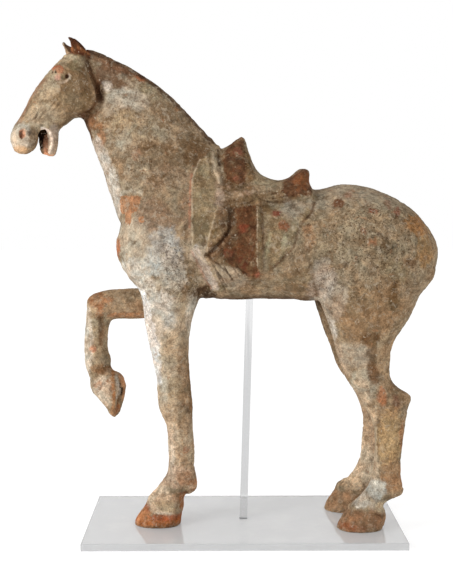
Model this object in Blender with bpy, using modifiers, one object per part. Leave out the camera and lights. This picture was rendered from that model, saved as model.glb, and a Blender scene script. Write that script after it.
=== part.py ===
"""Pottery horse of the Tang period on a clear stand.

The horse is one piece of fired clay: body, saddle, cloths, ears and hooves are one solid. It
stands on a clear plate with its right foreleg raised, and a clear square bar between the plate
and the belly steadies it. Metres, +Z up. The head points to -X and the horse's left side to -Y.
The origin is the middle of the plate's underside.
"""

import math

import bmesh
import bpy
import numpy as np
from mathutils import Matrix, Vector

# Driving dimensions
HORSE_HEIGHT = 0.541
PLATE_LENGTH = 0.350
PLATE_DEPTH = 0.180
PLATE_THICKNESS = 0.008
PLATE_EDGE_ROUND = 0.0006
ROD_WIDTH = 0.0085
ROD_EDGE_ROUND = 0.0006
ROD_SEAT_IN_PLATE = 0.005
ROD_SEAT_IN_BELLY = 0.009
CLEARANCE = 0.0003

# The horse is drawn in units of a 541st of its height, a millimetre each at the real height
U = HORSE_HEIGHT / 541.0
SOLE_Z = PLATE_THICKNESS + CLEARANCE
BELLY_HEIGHT = 254.0
ROD_LEAN_AT_BELLY = 7.0
SKIN_VOXEL = 1.7
SIDES = 36
RING_SPACING = 4.0
TRIANGLES = 9000
HEAD_DETAIL = 3e-5

# The head is drawn straight ahead, then turned towards the horse's left about the poll
HEAD_TURN = math.radians(20.0)
POLL_X = -170.0
NECK_BEND = -3.0


def ring(front, back, side, half_width, full=2.0, egg=0.0):
    """A cross-section: its two ends in the side view, then its middle and half width across.

    full is 2 for an ellipse and more for a boxier outline. egg above 0 widens the front end.
    """
    return (*front, *back, side, half_width, full, egg)


# Trunk, from the buttocks to the breast, each ring from back line to belly line
TRUNK = [
    ring((210, 321), (208, 281), 0, 38, 2.2, 0.05),
    ring((202, 335), (200, 265), 0, 52, 2.2, 0.05),
    ring((188, 352), (188, 252), 0, 63, 2.3, 0.05),
    ring((167, 366), (167, 247), 0, 70, 2.3, 0.02),
    ring((140, 377), (140, 248), 0, 72, 2.3, 0.0),
    ring((112, 381), (112, 251), 0, 70, 2.3, -0.05),
    ring((85, 374), (85, 253), 0, 67, 2.3, -0.1),
    ring((40, 375), (40, 253), 0, 67, 2.2, -0.12),
    ring((0, 382), (0, 254), 0, 67, 2.2, -0.12),
    ring((-40, 398), (-40, 255), 0, 65, 2.2, -0.1),
    ring((-75, 398), (-75, 257), 0, 62, 2.2, -0.05),
    ring((-105, 384), (-105, 262), 0, 57, 2.2, 0.0),
    ring((-125, 362), (-125, 276), 0, 48, 2.2, 0.0),
    ring((-138, 337), (-138, 292), 0, 33, 2.2, 0.0),
]

# Neck, each ring from throat to crest
NECK = [
    ring((-132, 305), (0, 390), 0, 58, 2.1, 0.25),
    ring((-138, 335), (-33, 425), 0, 50, 2.1, 0.3),
    ring((-144, 356), (-57, 455), 0, 42, 2.1, 0.35),
    ring((-151, 377), (-80, 477), 0, 36, 2.1, 0.35),
    ring((-155, 393), (-103, 495), -0.5, 31, 2.1, 0.35),
    ring((-161, 407), (-124, 509), -1.5, 27, 2.1, 0.35),
    ring((-167, 425), (-144, 518), NECK_BEND, 24, 2.1, 0.3),
    ring((-172, 443), (-160, 525), NECK_BEND, 21, 2.1, 0.2),
    ring((-180, 467), (-174, 528), NECK_BEND, 17, 2.1, 0.0),
]

# Head, each ring from the line of the nose to the line of the jaw
HEAD = [
    ring((-184, 527), (-162, 494), 0, 17, 2.2, 0.0),
    ring((-197, 520), (-156, 478), 0, 24, 2.6, 0.0),
    ring((-212, 505), (-153, 460), 0, 27, 2.9, -0.05),
    ring((-226, 488), (-169, 456), 0, 26, 2.7, -0.1),
    ring((-237, 470), (-190, 450), 0, 21, 2.4, -0.1),
    ring((-245, 455), (-206, 442), 0, 17, 2.3, -0.05),
    ring((-254, 441), (-224, 437), 0, 16, 2.3, 0.05),
    ring((-257.5, 429), (-232, 427), 0, 16.5, 2.4, 0.05),
    ring((-254, 418.5), (-236, 416.5), 0, 14.5, 2.3, 0.0),
]
UPPER_LIP_ROUND = 5.0

# Lower jaw, hanging open, each ring from the mouth side to the chin side
JAW = [
    ring((-224, 456), (-196, 457), 0, 17, 2.4),
    ring((-229, 443), (-203, 444), 0, 15.5, 3.0),
    ring((-228.5, 433), (-206, 434), 0, 14.5, 3.2),
    ring((-227.5, 423), (-207, 422), 0, 14, 3.2),
    ring((-226, 415), (-209, 413), 0, 12, 2.8),
]
JAW_ROUND = 4.0

# The hollow of the mouth: it parts the lips and makes a trough of the lower jaw
MOUTH = [
    ring((-248, 400), (-214, 400), 0, 8.5, 3.0),
    ring((-236, 414), (-213.5, 413), 0, 9, 3.0),
    ring((-233.5, 427), (-213.5, 426), 0, 9.5, 3.0),
    ring((-231, 438), (-214.5, 438), 0, 9.5, 3.0),
    ring((-227, 446), (-218, 447), 0, 8.5, 2.6),
]
LIP_GAP = [
    ring((-244, 398), (-229, 398), 0, 30, 3.0),
    ring((-239, 412), (-228.5, 412), 0, 30, 3.0),
    ring((-234, 423), (-228.5, 424), 0, 30, 3.0),
    ring((-231, 430), (-228.5, 431), 0, 30, 3.0),
]
NEAR_LIP_CUT = [
    ring((-245, 400), (-219, 400), -20, 13, 4.0),
    ring((-245, 415), (-218, 414), -20, 13, 4.0),
    ring((-245, 430), (-217.5, 430), -20, 13, 4.0),
    ring((-240, 440), (-221, 441), -20, 13, 4.0),
]

# Ears, drawn for the left side
EAR = [
    ring((-194, 514), (-176, 516), -12, 7, 2.0),
    ring((-194.5, 522), (-173.5, 523), -12.5, 7, 2.0),
    ring((-195.5, 529), (-181, 531), -13, 5.5, 2.0),
    ring((-196.5, 535), (-188.5, 537), -13, 3.2, 2.0),
    ring((-197, 538.5), (-193.5, 539.5), -13, 1.8, 2.0),
]
EAR_TIP_ROUND = 1.0
EAR_HOLLOW = [
    ring((-200, 517), (-187.5, 518), -15, 2.5, 2.0),
    ring((-200, 525), (-186, 527), -15.5, 4.0, 2.0),
    ring((-202, 534), (-192, 535), -14.5, 2.0, 2.0),
]
RIGHT_EAR_DROP = -2.5
EYE_CENTRE = (-206.0, -20.5, 498.0)
EYE_RADII = (8.5, 6.0, 8.0)

# Left hind leg, each ring from the front to the back of the limb
HIND_LEG = [
    ring((96, 345), (200, 330), -34, 30, 2.2),
    ring((82, 292), (208, 285), -37, 34, 2.2),
    ring((81, 258), (192, 262), -39, 30, 2.2),
    ring((92, 228), (176, 233), -39, 26, 2.1),
    ring((101, 197), (161, 207), -38, 21, 2.1),
    ring((110, 171), (158, 184), -37, 17.5, 2.1),
    ring((121, 155), (164, 163), -36, 16, 2.2),
    ring((131, 140), (183, 147), -36, 16, 2.2, 0.15),
    ring((139, 126), (180, 132), -36, 15, 2.2, 0.1),
    ring((144, 108), (177, 108), -36, 13.5, 2.2),
    ring((144, 80), (174, 80), -36, 13, 2.2),
    ring((143, 62), (174, 57), -36, 13.5, 2.2),
    ring((138, 48), (177, 40), -36, 15, 2.1),
    ring((131, 38), (165, 34), -36, 14.5, 2.1),
    ring((124, 30), (156, 27), -36, 15, 2.1),
]
HIND_HOOF = [
    ring((119, 28), (156, 26), -36, 15.5, 2.2, -0.1),
    ring((113, 19), (158, 16), -36, 18.5, 2.2, -0.05),
    ring((106, 8), (157, 7), -36, 20.5, 2.2, 0.0),
    ring((103, 0), (154, 0), -36, 21, 2.2, 0.0),
    ring((102, -3), (154, -3), -36, 21, 2.2, 0.0),
]
FAR_HIND_FOOT_FORWARD = -7.0
STIFLE_HEIGHT = 240.0
CANNON_HEIGHT = 140.0

# Left foreleg, on the ground
FORE_LEG = [
    ring((-134, 330), (-46, 330), -28, 28, 2.2),
    ring((-128, 285), (-44, 282), -32, 30, 2.2),
    ring((-115, 266), (-49, 256), -33, 28, 2.2),
    ring((-111, 250), (-55, 240), -32, 25.5, 2.2),
    ring((-109, 230), (-60, 215), -31, 22.5, 2.2),
    ring((-103, 198), (-61, 190), -29, 20, 2.2),
    ring((-97, 170), (-59, 160), -27, 18, 2.2),
    ring((-96, 150), (-57, 140), -26, 18.5, 2.3),
    ring((-94, 132), (-57, 124), -25, 19, 2.3),
    ring((-86, 114), (-57, 107), -24, 15.5, 2.2),
    ring((-85, 96), (-55, 93), -23, 13.5, 2.2),
    ring((-84, 70), (-55, 66), -21, 13, 2.2),
    ring((-88, 54), (-52, 45), -20, 15, 2.1),
    ring((-98, 44), (-62, 37), -19, 14.5, 2.1),
    ring((-104, 35), (-67, 29), -19, 15.5, 2.1),
]
FORE_HOOF = [
    ring((-106, 33), (-66, 29), -19, 16, 2.2),
    ring((-110, 22), (-66, 18), -18, 19, 2.2),
    ring((-118, 9), (-69, 8), -18, 21.5, 2.2),
    ring((-122, 0), (-71, 0), -18, 22, 2.2),
    ring((-123, -3), (-71, -3), -18, 22, 2.2),
]

# Right foreleg, raised and folded at the knee
RAISED_LEG = [
    ring((-70, 306), (-52, 262), 28, 26, 2.1),
    ring((-92, 284), (-82, 240), 33, 26, 2.1),
    ring((-112, 264), (-106, 228), 36, 20.5, 2.1),
    ring((-140, 261), (-130, 227), 36, 18, 2.1),
    ring((-165, 258), (-146, 227), 36, 17.5, 2.2),
    ring((-178, 249), (-153, 225), 36, 17.5, 2.3),
    ring((-181, 234), (-156, 219), 36, 16.5, 2.2),
    ring((-183, 212), (-158, 206), 36, 14, 2.1),
    ring((-184, 192), (-157, 190), 36, 13.5, 2.1),
    ring((-182, 171), (-153, 179), 36, 14.5, 2.1),
    ring((-179, 157), (-154, 170), 36, 14, 2.1),
    ring((-173, 142), (-148, 163), 36, 15, 2.1),
]
RAISED_HOOF = [
    ring((-173, 143), (-149, 164), 36, 14.5, 2.2),
    ring((-168, 133), (-142, 161), 36, 18, 2.3),
    ring((-158, 119), (-138.5, 154), 36, 20.5, 2.3),
    ring((-149, 111), (-137, 148), 36, 21, 2.2),
]
RAISED_SOLE_SKEW = 0.18
RAISED_SOLE_HOLLOW = [
    ring((-152, 125), (-143, 145), 36, 11, 2.2),
    ring((-136, 117), (-127, 142), 36, 15, 2.2),
]

# Saddle: the high pommel, the seat and the cantle, ringed upwards or along the back
POMMEL = [
    ring((-28, 360), (26, 352), 0, 53, 2.3),
    ring((-27, 376), (25, 368), 0, 49, 2.3),
    ring((-29, 396), (22, 382), 0, 41, 2.2),
    ring((-28, 410), (16, 394), 0, 32, 2.1),
    ring((-25, 419), (10, 404), 0, 23, 2.0),
    ring((-17, 423), (6, 413), 0, 15, 2.0),
    ring((-11, 427), (3, 423), 0, 9.5, 2.0),
    ring((-8, 430), (1, 429), 0, 6, 2.0),
]
POMMEL_ROUND = 2.5
SEAT = [
    ring((4, 407), (4, 350), 0, 44, 2.3),
    ring((16, 394), (16, 350), 0, 46, 2.4),
    ring((36, 386), (36, 350), 0, 47, 2.5),
    ring((52, 389), (52, 350), 0, 47, 2.5),
    ring((66, 393), (66, 350), 0, 45, 2.4),
    ring((71, 386), (71, 350), 0, 43, 2.4),
]
CANTLE = [
    ring((34, 360), (76, 366), 0, 50, 2.4),
    ring((45, 379), (74.5, 376), 0, 45, 2.3),
    ring((53, 390), (73.5, 387), 0, 36, 2.3),
    ring((59, 396), (73, 394.5), 0, 25, 2.3),
]
CANTLE_ROUND = 2.5

# Side-view lines of the saddle's cloths and straps, for both flanks
LOWER_CLOTH = [(-36, 440), (-45, 412), (-55, 393), (-58, 364), (-57, 330), (-51, 314), (-39, 292),
               (-24, 274), (0, 275), (20, 284), (43, 302), (54, 318), (62, 337), (71, 356),
               (76, 376), (80, 440)]
UPPER_CLOTH = [(-32, 440), (-30, 400), (-24, 366), (-31, 344), (-41, 308), (-34, 292), (-16, 281),
               (8, 280), (19, 289), (18, 330), (17, 354), (27, 361), (50, 367), (74, 372),
               (80, 440)]
CREASE = [(-15, 352), (-16, 334), (-28, 317), (-41, 305)]
FLAP_RIDGE = [(13, 366), (13.5, 330), (15, 306), (16, 289)]
GIRTH = [(-57, 332), (-52, 314), (-39, 292), (-29, 270), (-26, 245)]
PLEATS = [[(-34, 300), (-24, 276)], [(-26, 303), (-15, 280)], [(-17, 306), (-5, 283)]]
LOWER_CLOTH_HEIGHT = 1.6
UPPER_CLOTH_HEIGHT = 3.0
CREASE_DEPTH = 5.0
FLAP_RIDGE_HEIGHT = 1.6
GIRTH_HALF_WIDTH = 5.5
GIRTH_HEIGHT = 1.5
PLEAT_HEIGHT = 1.6

# Muscles and bones: place in the side view, radii and height of each swelling, both sides
SWELLINGS = [
    ((-98, 318), (34, 46), 5.0),
    ((-128, 300), (18, 22), 3.0),
    ((-70, 272), (26, 22), 3.0),
    ((150, 325), (52, 44), 4.0),
    ((112, 268), (26, 34), 3.0),
    ((92, 330), (16, 42), -4.0),
    ((-58, 290), (12, 26), -2.5),
]
JAW_CREASE = [(-176, 512), (-172, 497), (-167, 482), (-165, 470), (-168, 461), (-176, 455)]
JAW_CREASE_DEPTH = 4.5
CHEEK = ((-190, 476), (20, 20), 3.0)
BROW = [(-217, 503), (-211, 509), (-202, 508), (-195, 500)]
BROW_HEIGHT = 2.0
NOSTRIL = [(-250, 438), (-247, 434), (-246, 429)]
NOSTRIL_RIM_HEIGHT = 2.0
NOSTRIL_DEPTH = 3.5
BREAST_FURROW_DEPTH = 4.0


def clear_scene():
    for item in list(bpy.data.objects):
        bpy.data.objects.remove(item, do_unlink=True)


def through(points, spacing):
    """Points every spacing or so along the smooth curve through the given ones."""
    points = np.asarray(points, dtype=float)
    padded = np.vstack([2 * points[0] - points[1], points, 2 * points[-1] - points[-2]])
    curve = []
    for before, start, end, after in zip(padded, padded[1:], padded[2:], padded[3:]):
        steps = max(1, int(round(np.abs(end - start).max() / spacing)))
        for t in np.arange(steps) / steps:
            pull = 2 * before - 5 * start + 4 * end - after
            twist = 3 * (start - end) + after - before
            curve.append(start + 0.5 * t * (end - before + t * (pull + t * twist)))
    curve.append(points[-1])
    return np.array(curve)


def ring_points(row):
    """The corners of one cross-section, (SIDES, 3)."""
    front_x, front_z, back_x, back_z, side, half_width, full, egg = row
    angle = np.arange(SIDES) * (2 * math.pi / SIDES)
    along = np.sign(np.cos(angle)) * np.abs(np.cos(angle)) ** (2 / full)
    across = np.sign(np.sin(angle)) * np.abs(np.sin(angle)) ** (2 / full)
    x = (front_x + back_x) / 2 + along * (front_x - back_x) / 2
    z = (front_z + back_z) / 2 + along * (front_z - back_z) / 2
    y = side + across * half_width * (1 + egg * along)
    return np.stack([x, y, z], axis=1)


def round_off(rings, depth):
    """Rings that close a limb's free end in a dome of the given depth."""
    last = rings[-1]
    middle = last.mean(axis=0)
    ahead = middle - rings[-2].mean(axis=0)
    ahead = ahead / np.linalg.norm(ahead)
    dome = []
    for turn in np.radians([30, 55, 75]):
        dome.append(middle + (last - middle) * math.cos(turn) + ahead * depth * math.sin(turn))
    return dome


def loft(rows, end_round=0.0, start_round=0.0, mirrored=False, shift=None):
    """A closed skin through the rings of a limb, as a mesh in drawing units."""
    rows = through(rows, RING_SPACING)
    if shift is not None:
        rows = shift(rows)
    rings = [ring_points(row) for row in rows]
    if end_round:
        rings = rings + round_off(rings, end_round)
    if start_round:
        rings = round_off(rings[::-1], start_round)[::-1] + rings
    form = bmesh.new()
    loops = []
    for points in rings:
        if mirrored:
            points = points * (1, -1, 1)
        loops.append([form.verts.new(point) for point in points])
    for lower, upper in zip(loops, loops[1:]):
        for k in range(SIDES):
            n = (k + 1) % SIDES
            form.faces.new((lower[k], lower[n], upper[n], upper[k]))
    form.faces.new(loops[0][::-1])
    form.faces.new(loops[-1])
    bmesh.ops.recalc_face_normals(form, faces=form.faces)
    return form


def ball(centre, radii):
    form = bmesh.new()
    bmesh.ops.create_uvsphere(form, u_segments=24, v_segments=16, radius=1.0)
    bmesh.ops.scale(form, vec=radii, verts=form.verts)
    bmesh.ops.translate(form, vec=centre, verts=form.verts)
    return form


def turn_head(form):
    """Turn a form of the head about the poll, from straight ahead to its place."""
    pivot = Vector((POLL_X, 0, 0))
    bmesh.ops.rotate(form, cent=pivot, matrix=Matrix.Rotation(HEAD_TURN, 3, "Z"), verts=form.verts)
    bmesh.ops.translate(form, vec=(0, NECK_BEND, 0), verts=form.verts)
    return form


def make_object(name, form):
    mesh = bpy.data.meshes.new(name)
    form.to_mesh(mesh)
    form.free()
    made = bpy.data.objects.new(name, mesh)
    bpy.context.scene.collection.objects.link(made)
    return made


def evaluated_mesh(made):
    bpy.context.view_layer.update()
    graph = bpy.context.evaluated_depsgraph_get()
    return bpy.data.meshes.new_from_object(made.evaluated_get(graph))


def cut_form(form, cutter):
    """The form with the cutter's space taken out of it."""
    body = make_object("cut_body", form)
    tool = make_object("cut_tool", cutter)
    cut = body.modifiers.new("hollow", "BOOLEAN")
    cut.operation = "DIFFERENCE"
    cut.solver = "EXACT"
    cut.object = tool
    mesh = evaluated_mesh(body)
    result = bmesh.new()
    result.from_mesh(mesh)
    bpy.data.objects.remove(body, do_unlink=True)
    bpy.data.objects.remove(tool, do_unlink=True)
    bpy.data.meshes.remove(mesh)
    return result


def far_hind_step(rows):
    """Carry the right hind foot, and the back of its hock, forward of the left one."""
    cannon = np.clip((CANNON_HEIGHT - rows[:, 1]) / CANNON_HEIGHT, 0, 1) ** 0.7
    limb = np.clip((STIFLE_HEIGHT - rows[:, 3]) / STIFLE_HEIGHT, 0, 1) ** 0.5
    rows[:, 0] += FAR_HIND_FOOT_FORWARD * cannon
    rows[:, 2] += FAR_HIND_FOOT_FORWARD * limb
    return rows


def skew_sole(form):
    """Turn the sole of the raised hoof a little towards the horse's left."""
    for corner in form.verts:
        corner.co.x += RAISED_SOLE_SKEW * (corner.co.y - RAISED_HOOF[-1][4])
    return form


def lower_ear(rows):
    """Carry the right ear a little lower than the left one."""
    rows[:, 1] += RIGHT_EAR_DROP
    rows[:, 3] += RIGHT_EAR_DROP
    return rows


def horse_forms():
    """All the overlapping forms that the horse is built up from."""
    head = cut_form(loft(HEAD, end_round=UPPER_LIP_ROUND), loft(MOUTH))
    jaw = cut_form(loft(JAW, end_round=JAW_ROUND), loft(MOUTH))
    jaw = cut_form(jaw, loft(NEAR_LIP_CUT))
    forms = [
        loft(TRUNK, end_round=6.0, start_round=6.0),
        loft(NECK),
        turn_head(cut_form(head, loft(LIP_GAP))),
        turn_head(jaw),
        loft(HIND_LEG),
        loft(HIND_HOOF),
        loft(HIND_LEG, mirrored=True, shift=far_hind_step),
        loft(HIND_HOOF, mirrored=True, shift=far_hind_step),
        loft(FORE_LEG),
        loft(FORE_HOOF),
        loft(RAISED_LEG),
        skew_sole(cut_form(loft(RAISED_HOOF), loft(RAISED_SOLE_HOLLOW))),
        loft(POMMEL, end_round=POMMEL_ROUND),
        loft(SEAT),
        loft(CANTLE, end_round=CANTLE_ROUND),
    ]
    for mirrored in (False, True):
        drop = lower_ear if mirrored else None
        ear = loft(EAR, end_round=EAR_TIP_ROUND, mirrored=mirrored, shift=drop)
        hollow = loft(EAR_HOLLOW, mirrored=mirrored, shift=drop)
        forms.append(turn_head(cut_form(ear, hollow)))
        side = -1 if mirrored else 1
        centre = (EYE_CENTRE[0], side * EYE_CENTRE[1], EYE_CENTRE[2])
        forms.append(turn_head(ball(centre, EYE_RADII)))
    return forms


def one_skin(forms):
    """Fuse the forms into a single closed skin of even small faces."""
    joined = bmesh.new()
    for form in forms:
        mesh = bpy.data.meshes.new("form")
        form.to_mesh(mesh)
        form.free()
        joined.from_mesh(mesh)
        bpy.data.meshes.remove(mesh)
    blank = make_object("blank", joined)
    fuse = blank.modifiers.new("fuse", "REMESH")
    fuse.mode = "VOXEL"
    fuse.voxel_size = SKIN_VOXEL
    mesh = evaluated_mesh(blank)
    bpy.data.objects.remove(blank, do_unlink=True)
    return mesh


def read_points(mesh):
    flat = np.empty(len(mesh.vertices) * 3, dtype=np.float32)
    mesh.vertices.foreach_get("co", flat)
    return flat.reshape(-1, 3).astype(float)


def read_normals(mesh):
    mesh.update()
    flat = np.empty(len(mesh.vertices) * 3, dtype=np.float32)
    mesh.vertices.foreach_get("normal", flat)
    return flat.reshape(-1, 3).astype(float)


def write_points(mesh, points):
    mesh.vertices.foreach_set("co", points.astype(np.float32).ravel())
    mesh.update()


def soften(mesh, weight, rounds):
    """Relax the skin where weight is above 0, without drawing it in where it is flat."""
    edges = np.empty(len(mesh.edges) * 2, dtype=np.int32)
    mesh.edges.foreach_get("vertices", edges)
    a, b = edges.reshape(-1, 2).T
    points = read_points(mesh)
    count = np.bincount(a, minlength=len(points)) + np.bincount(b, minlength=len(points))
    for _ in range(rounds):
        total = np.empty_like(points)
        for axis in range(3):
            total[:, axis] = (np.bincount(a, points[b, axis], len(points))
                              + np.bincount(b, points[a, axis], len(points)))
        points += (total / count[:, None] - points) * weight[:, None]
    write_points(mesh, points)


def smooth_step(value, low, high):
    t = np.clip((value - low) / (high - low), 0, 1)
    return t * t * (3 - 2 * t)


def distance_to_line(x, z, line):
    """Distance in the side view from each point to a smooth open line."""
    line = through(line, 3.0)
    best = np.full(x.shape, 1e9)
    for (x0, z0), (x1, z1) in zip(line, line[1:]):
        run = (x1 - x0) ** 2 + (z1 - z0) ** 2
        t = np.clip(((x - x0) * (x1 - x0) + (z - z0) * (z1 - z0)) / run, 0, 1)
        best = np.minimum(best, np.hypot(x - x0 - t * (x1 - x0), z - z0 - t * (z1 - z0)))
    return best


def depth_inside(x, z, outline):
    """Distance in the side view to a closed outline, above 0 inside it."""
    edge = distance_to_line(x, z, outline + outline[:1])
    corners = through(outline, 3.0)
    inside = np.zeros(x.shape, dtype=bool)
    for (x0, z0), (x1, z1) in zip(corners, np.roll(corners, -1, axis=0)):
        if z0 == z1:
            continue
        crosses = (z0 > z) != (z1 > z)
        inside ^= crosses & (x < (x1 - x0) * (z - z0) / (z1 - z0) + x0)
    return np.where(inside, edge, -edge)


def bump(x, z, place, radii):
    """A smooth swelling of height 1 at a place in the side view."""
    reach = ((x - place[0]) / radii[0]) ** 2 + ((z - place[1]) / radii[1]) ** 2
    return np.exp(-1.5 * reach)


def band(distance, half_width, edge=1.5):
    """1 within half_width of a line, falling to 0 over the edge."""
    return 1 - smooth_step(distance, half_width - edge / 2, half_width + edge / 2)


def cloth_relief(x, z):
    """Height of the two saddle cloths, their folds and the girth, over one side view."""
    below_saddle = 1 - smooth_step(z, 368, 384) * smooth_step(x, -32, -24)
    height = LOWER_CLOTH_HEIGHT * smooth_step(depth_inside(x, z, LOWER_CLOTH), -1.2, 1.8)
    height += UPPER_CLOTH_HEIGHT * smooth_step(depth_inside(x, z, UPPER_CLOTH), -1.5, 2.5)
    height -= CREASE_DEPTH * band(distance_to_line(x, z, CREASE), 2.2, 4.0)
    height += FLAP_RIDGE_HEIGHT * band(distance_to_line(x, z, FLAP_RIDGE), 2.0, 3.0)
    for pleat in PLEATS:
        height += PLEAT_HEIGHT * band(distance_to_line(x, z, pleat), 2.0, 4.0)
    girth = band(distance_to_line(x, z, GIRTH), GIRTH_HALF_WIDTH, 2.5)
    return height * below_saddle + GIRTH_HEIGHT * girth * smooth_step(z, 244, 250)


def body_relief(points, normals):
    """Height of the muscles, cloths and straps over the trunk's skin."""
    x, y, z = points.T
    outward = normals[:, 1] * np.sign(y)
    flank = smooth_step(outward, 0.25, 0.7)
    height = np.zeros(len(points))
    for place, radii, swell in SWELLINGS:
        height += swell * bump(x, z, place, radii) * flank
    saddled = (x > -72) & (x < 95) & (z > 235) & (outward > 0)
    height[saddled] += cloth_relief(x[saddled], z[saddled])
    breast = np.exp(-(y / 5.0) ** 2) * smooth_step(-x, 118, 132) * smooth_step(z, 270, 290)
    height -= BREAST_FURROW_DEPTH * breast * (1 - smooth_step(z, 320, 345))
    return height


def head_relief(points, normals):
    """Height of the cheek, brow, nostril and the crease behind the jaw."""
    height = np.zeros(len(points))
    head = (points[:, 0] < -140) & (points[:, 2] > 400)
    turn = np.array([[math.cos(HEAD_TURN), math.sin(HEAD_TURN)],
                     [-math.sin(HEAD_TURN), math.cos(HEAD_TURN)]])
    x, y = turn @ (points[head] - (POLL_X, NECK_BEND, 0))[:, :2].T
    x = x + POLL_X
    z = points[head, 2]
    outward = turn[1] @ normals[head, :2].T * np.sign(y)
    side = smooth_step(outward, 0.2, 0.6)
    relief = CHEEK[2] * bump(x, z, *CHEEK[:2])
    relief -= JAW_CREASE_DEPTH * band(distance_to_line(x, z, JAW_CREASE), 2.0, 5.0)
    relief += BROW_HEIGHT * band(distance_to_line(x, z, BROW), 1.6, 3.0)
    nostril = distance_to_line(x, z, NOSTRIL)
    relief += NOSTRIL_RIM_HEIGHT * band(nostril, 4.5, 4.0)
    relief -= (NOSTRIL_RIM_HEIGHT + NOSTRIL_DEPTH) * band(nostril, 1.5, 3.0)
    height[head] = relief * side
    return height


def softness(points):
    """How far each part of the skin may relax: less at the head and feet than elsewhere."""
    x, y, z = points.T
    weight = np.full(len(points), 0.5)
    weight[z < 40] = 0.25
    weight[(z > 400) & (x < -180)] = 0.3
    return weight


def make_horse():
    mesh = one_skin(horse_forms())
    points = read_points(mesh)
    soften(mesh, softness(points), 6)
    joins = 0.6 * smooth_step(points[:, 2], 215, 260) * smooth_step(points[:, 0], -165, -140)
    saddle = bump(points[:, 0], points[:, 2], (22, 410), (62, 26))
    soften(mesh, joins * (1 - np.clip(1.4 * saddle, 0, 1)), 26)
    points = read_points(mesh)
    normals = read_normals(mesh)
    relief = body_relief(points, normals) + head_relief(points, normals)
    write_points(mesh, points + normals * relief[:, None])
    soften(mesh, np.full(len(points), 0.4), 2)
    points = read_points(mesh) * U
    points[:, 2] += SOLE_Z
    write_points(mesh, points)
    horse = bpy.data.objects.new("horse", mesh)
    bpy.context.scene.collection.objects.link(horse)
    detail = horse.vertex_groups.new(name="plain")
    head = (points[:, 2] > SOLE_Z + 400 * U) & (points[:, 0] < -150 * U)
    detail.add(np.flatnonzero(~head).tolist(), 1.0, "REPLACE")
    detail.add(np.flatnonzero(head).tolist(), 0.3, "REPLACE")
    thin = horse.modifiers.new("facets", "DECIMATE")
    thin.ratio = TRIANGLES / (2.0 * len(mesh.polygons))
    thin.vertex_group = detail.name
    thin.vertex_group_factor = HEAD_DETAIL
    return horse


def rod_box(name, spare):
    """The bar's box, or with some spare all round the seat it stands in."""
    low = PLATE_THICKNESS - ROD_SEAT_IN_PLATE
    high = SOLE_Z + BELLY_HEIGHT * U + ROD_SEAT_IN_BELLY
    lean = math.atan2(ROD_LEAN_AT_BELLY * U, high - low)
    bpy.ops.mesh.primitive_cube_add(size=1.0)
    box = bpy.context.object
    box.name = name
    width = ROD_WIDTH + 2 * spare
    length = (high - low) / math.cos(lean) + 2 * spare
    box.data.transform(Matrix.Diagonal((width, width, length, 1.0)))
    box.rotation_euler = (0, lean, 0)
    box.location = (ROD_LEAN_AT_BELLY * U / 2, 0, (low + high) / 2)
    return box


def ground_box():
    """The space under the soles, which levels the three hooves that stand."""
    bpy.ops.mesh.primitive_cube_add(size=1.0)
    ground = bpy.context.object
    ground.name = "ground"
    ground.data.transform(Matrix.Diagonal((2 * PLATE_LENGTH, 2 * PLATE_DEPTH, 0.02, 1.0)))
    ground.location = (0, 0, SOLE_Z - 0.01)
    return ground


def round_edges(made, width, segments=2):
    edges = made.modifiers.new("edges", "BEVEL")
    edges.width = width
    edges.segments = segments
    edges.limit_method = "ANGLE"


def take_out(made, cutter):
    cut = made.modifiers.new(cutter.name, "BOOLEAN")
    cut.operation = "DIFFERENCE"
    cut.solver = "EXACT"
    cut.object = cutter
    cutter.hide_render = True
    cutter.display_type = "WIRE"


def make_plate():
    bpy.ops.mesh.primitive_cube_add(size=1.0)
    plate = bpy.context.object
    plate.name = "base_plate"
    plate.data.transform(Matrix.Diagonal((PLATE_LENGTH, PLATE_DEPTH, PLATE_THICKNESS, 1.0)))
    plate.location = (0, 0, PLATE_THICKNESS / 2)
    round_edges(plate, PLATE_EDGE_ROUND)
    return plate


def give_material(made, name, colour, roughness, clear=0.0):
    material = bpy.data.materials.new(name)
    material.use_nodes = True
    shader = material.node_tree.nodes["Principled BSDF"]
    shader.inputs["Base Color"].default_value = (*colour, 1.0)
    shader.inputs["Roughness"].default_value = roughness
    shader.inputs["Metallic"].default_value = 0.0
    shader.inputs["Transmission Weight"].default_value = clear
    made.data.materials.clear()
    made.data.materials.append(material)


def put_in(collection_name, objects):
    collection = bpy.data.collections.new(collection_name)
    bpy.context.scene.collection.children.link(collection)
    for made in objects:
        for old in list(made.users_collection):
            old.objects.unlink(made)
        collection.objects.link(made)


clear_scene()
horse = make_horse()
plate = make_plate()
rod = rod_box("support_rod", 0.0)
round_edges(rod, ROD_EDGE_ROUND)
seat = rod_box("rod_seat", CLEARANCE)
ground = ground_box()
take_out(plate, seat)
take_out(horse, seat)
take_out(horse, ground)
give_material(horse, "worn_earthenware", (0.33, 0.25, 0.17), 0.85)
give_material(plate, "clear_plate", (0.9, 0.91, 0.91), 0.05, clear=1.0)
give_material(rod, "clear_bar", (0.9, 0.91, 0.91), 0.05, clear=1.0)
put_in("pottery_horse", [horse, plate, rod])
put_in("cutters", [seat, ground])
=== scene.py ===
"""A pottery horse of the Tang period on its clear stand, in its worn slip and burial earth."""

import math

import bmesh
import bpy
import numpy as np
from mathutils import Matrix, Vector, noise


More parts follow.
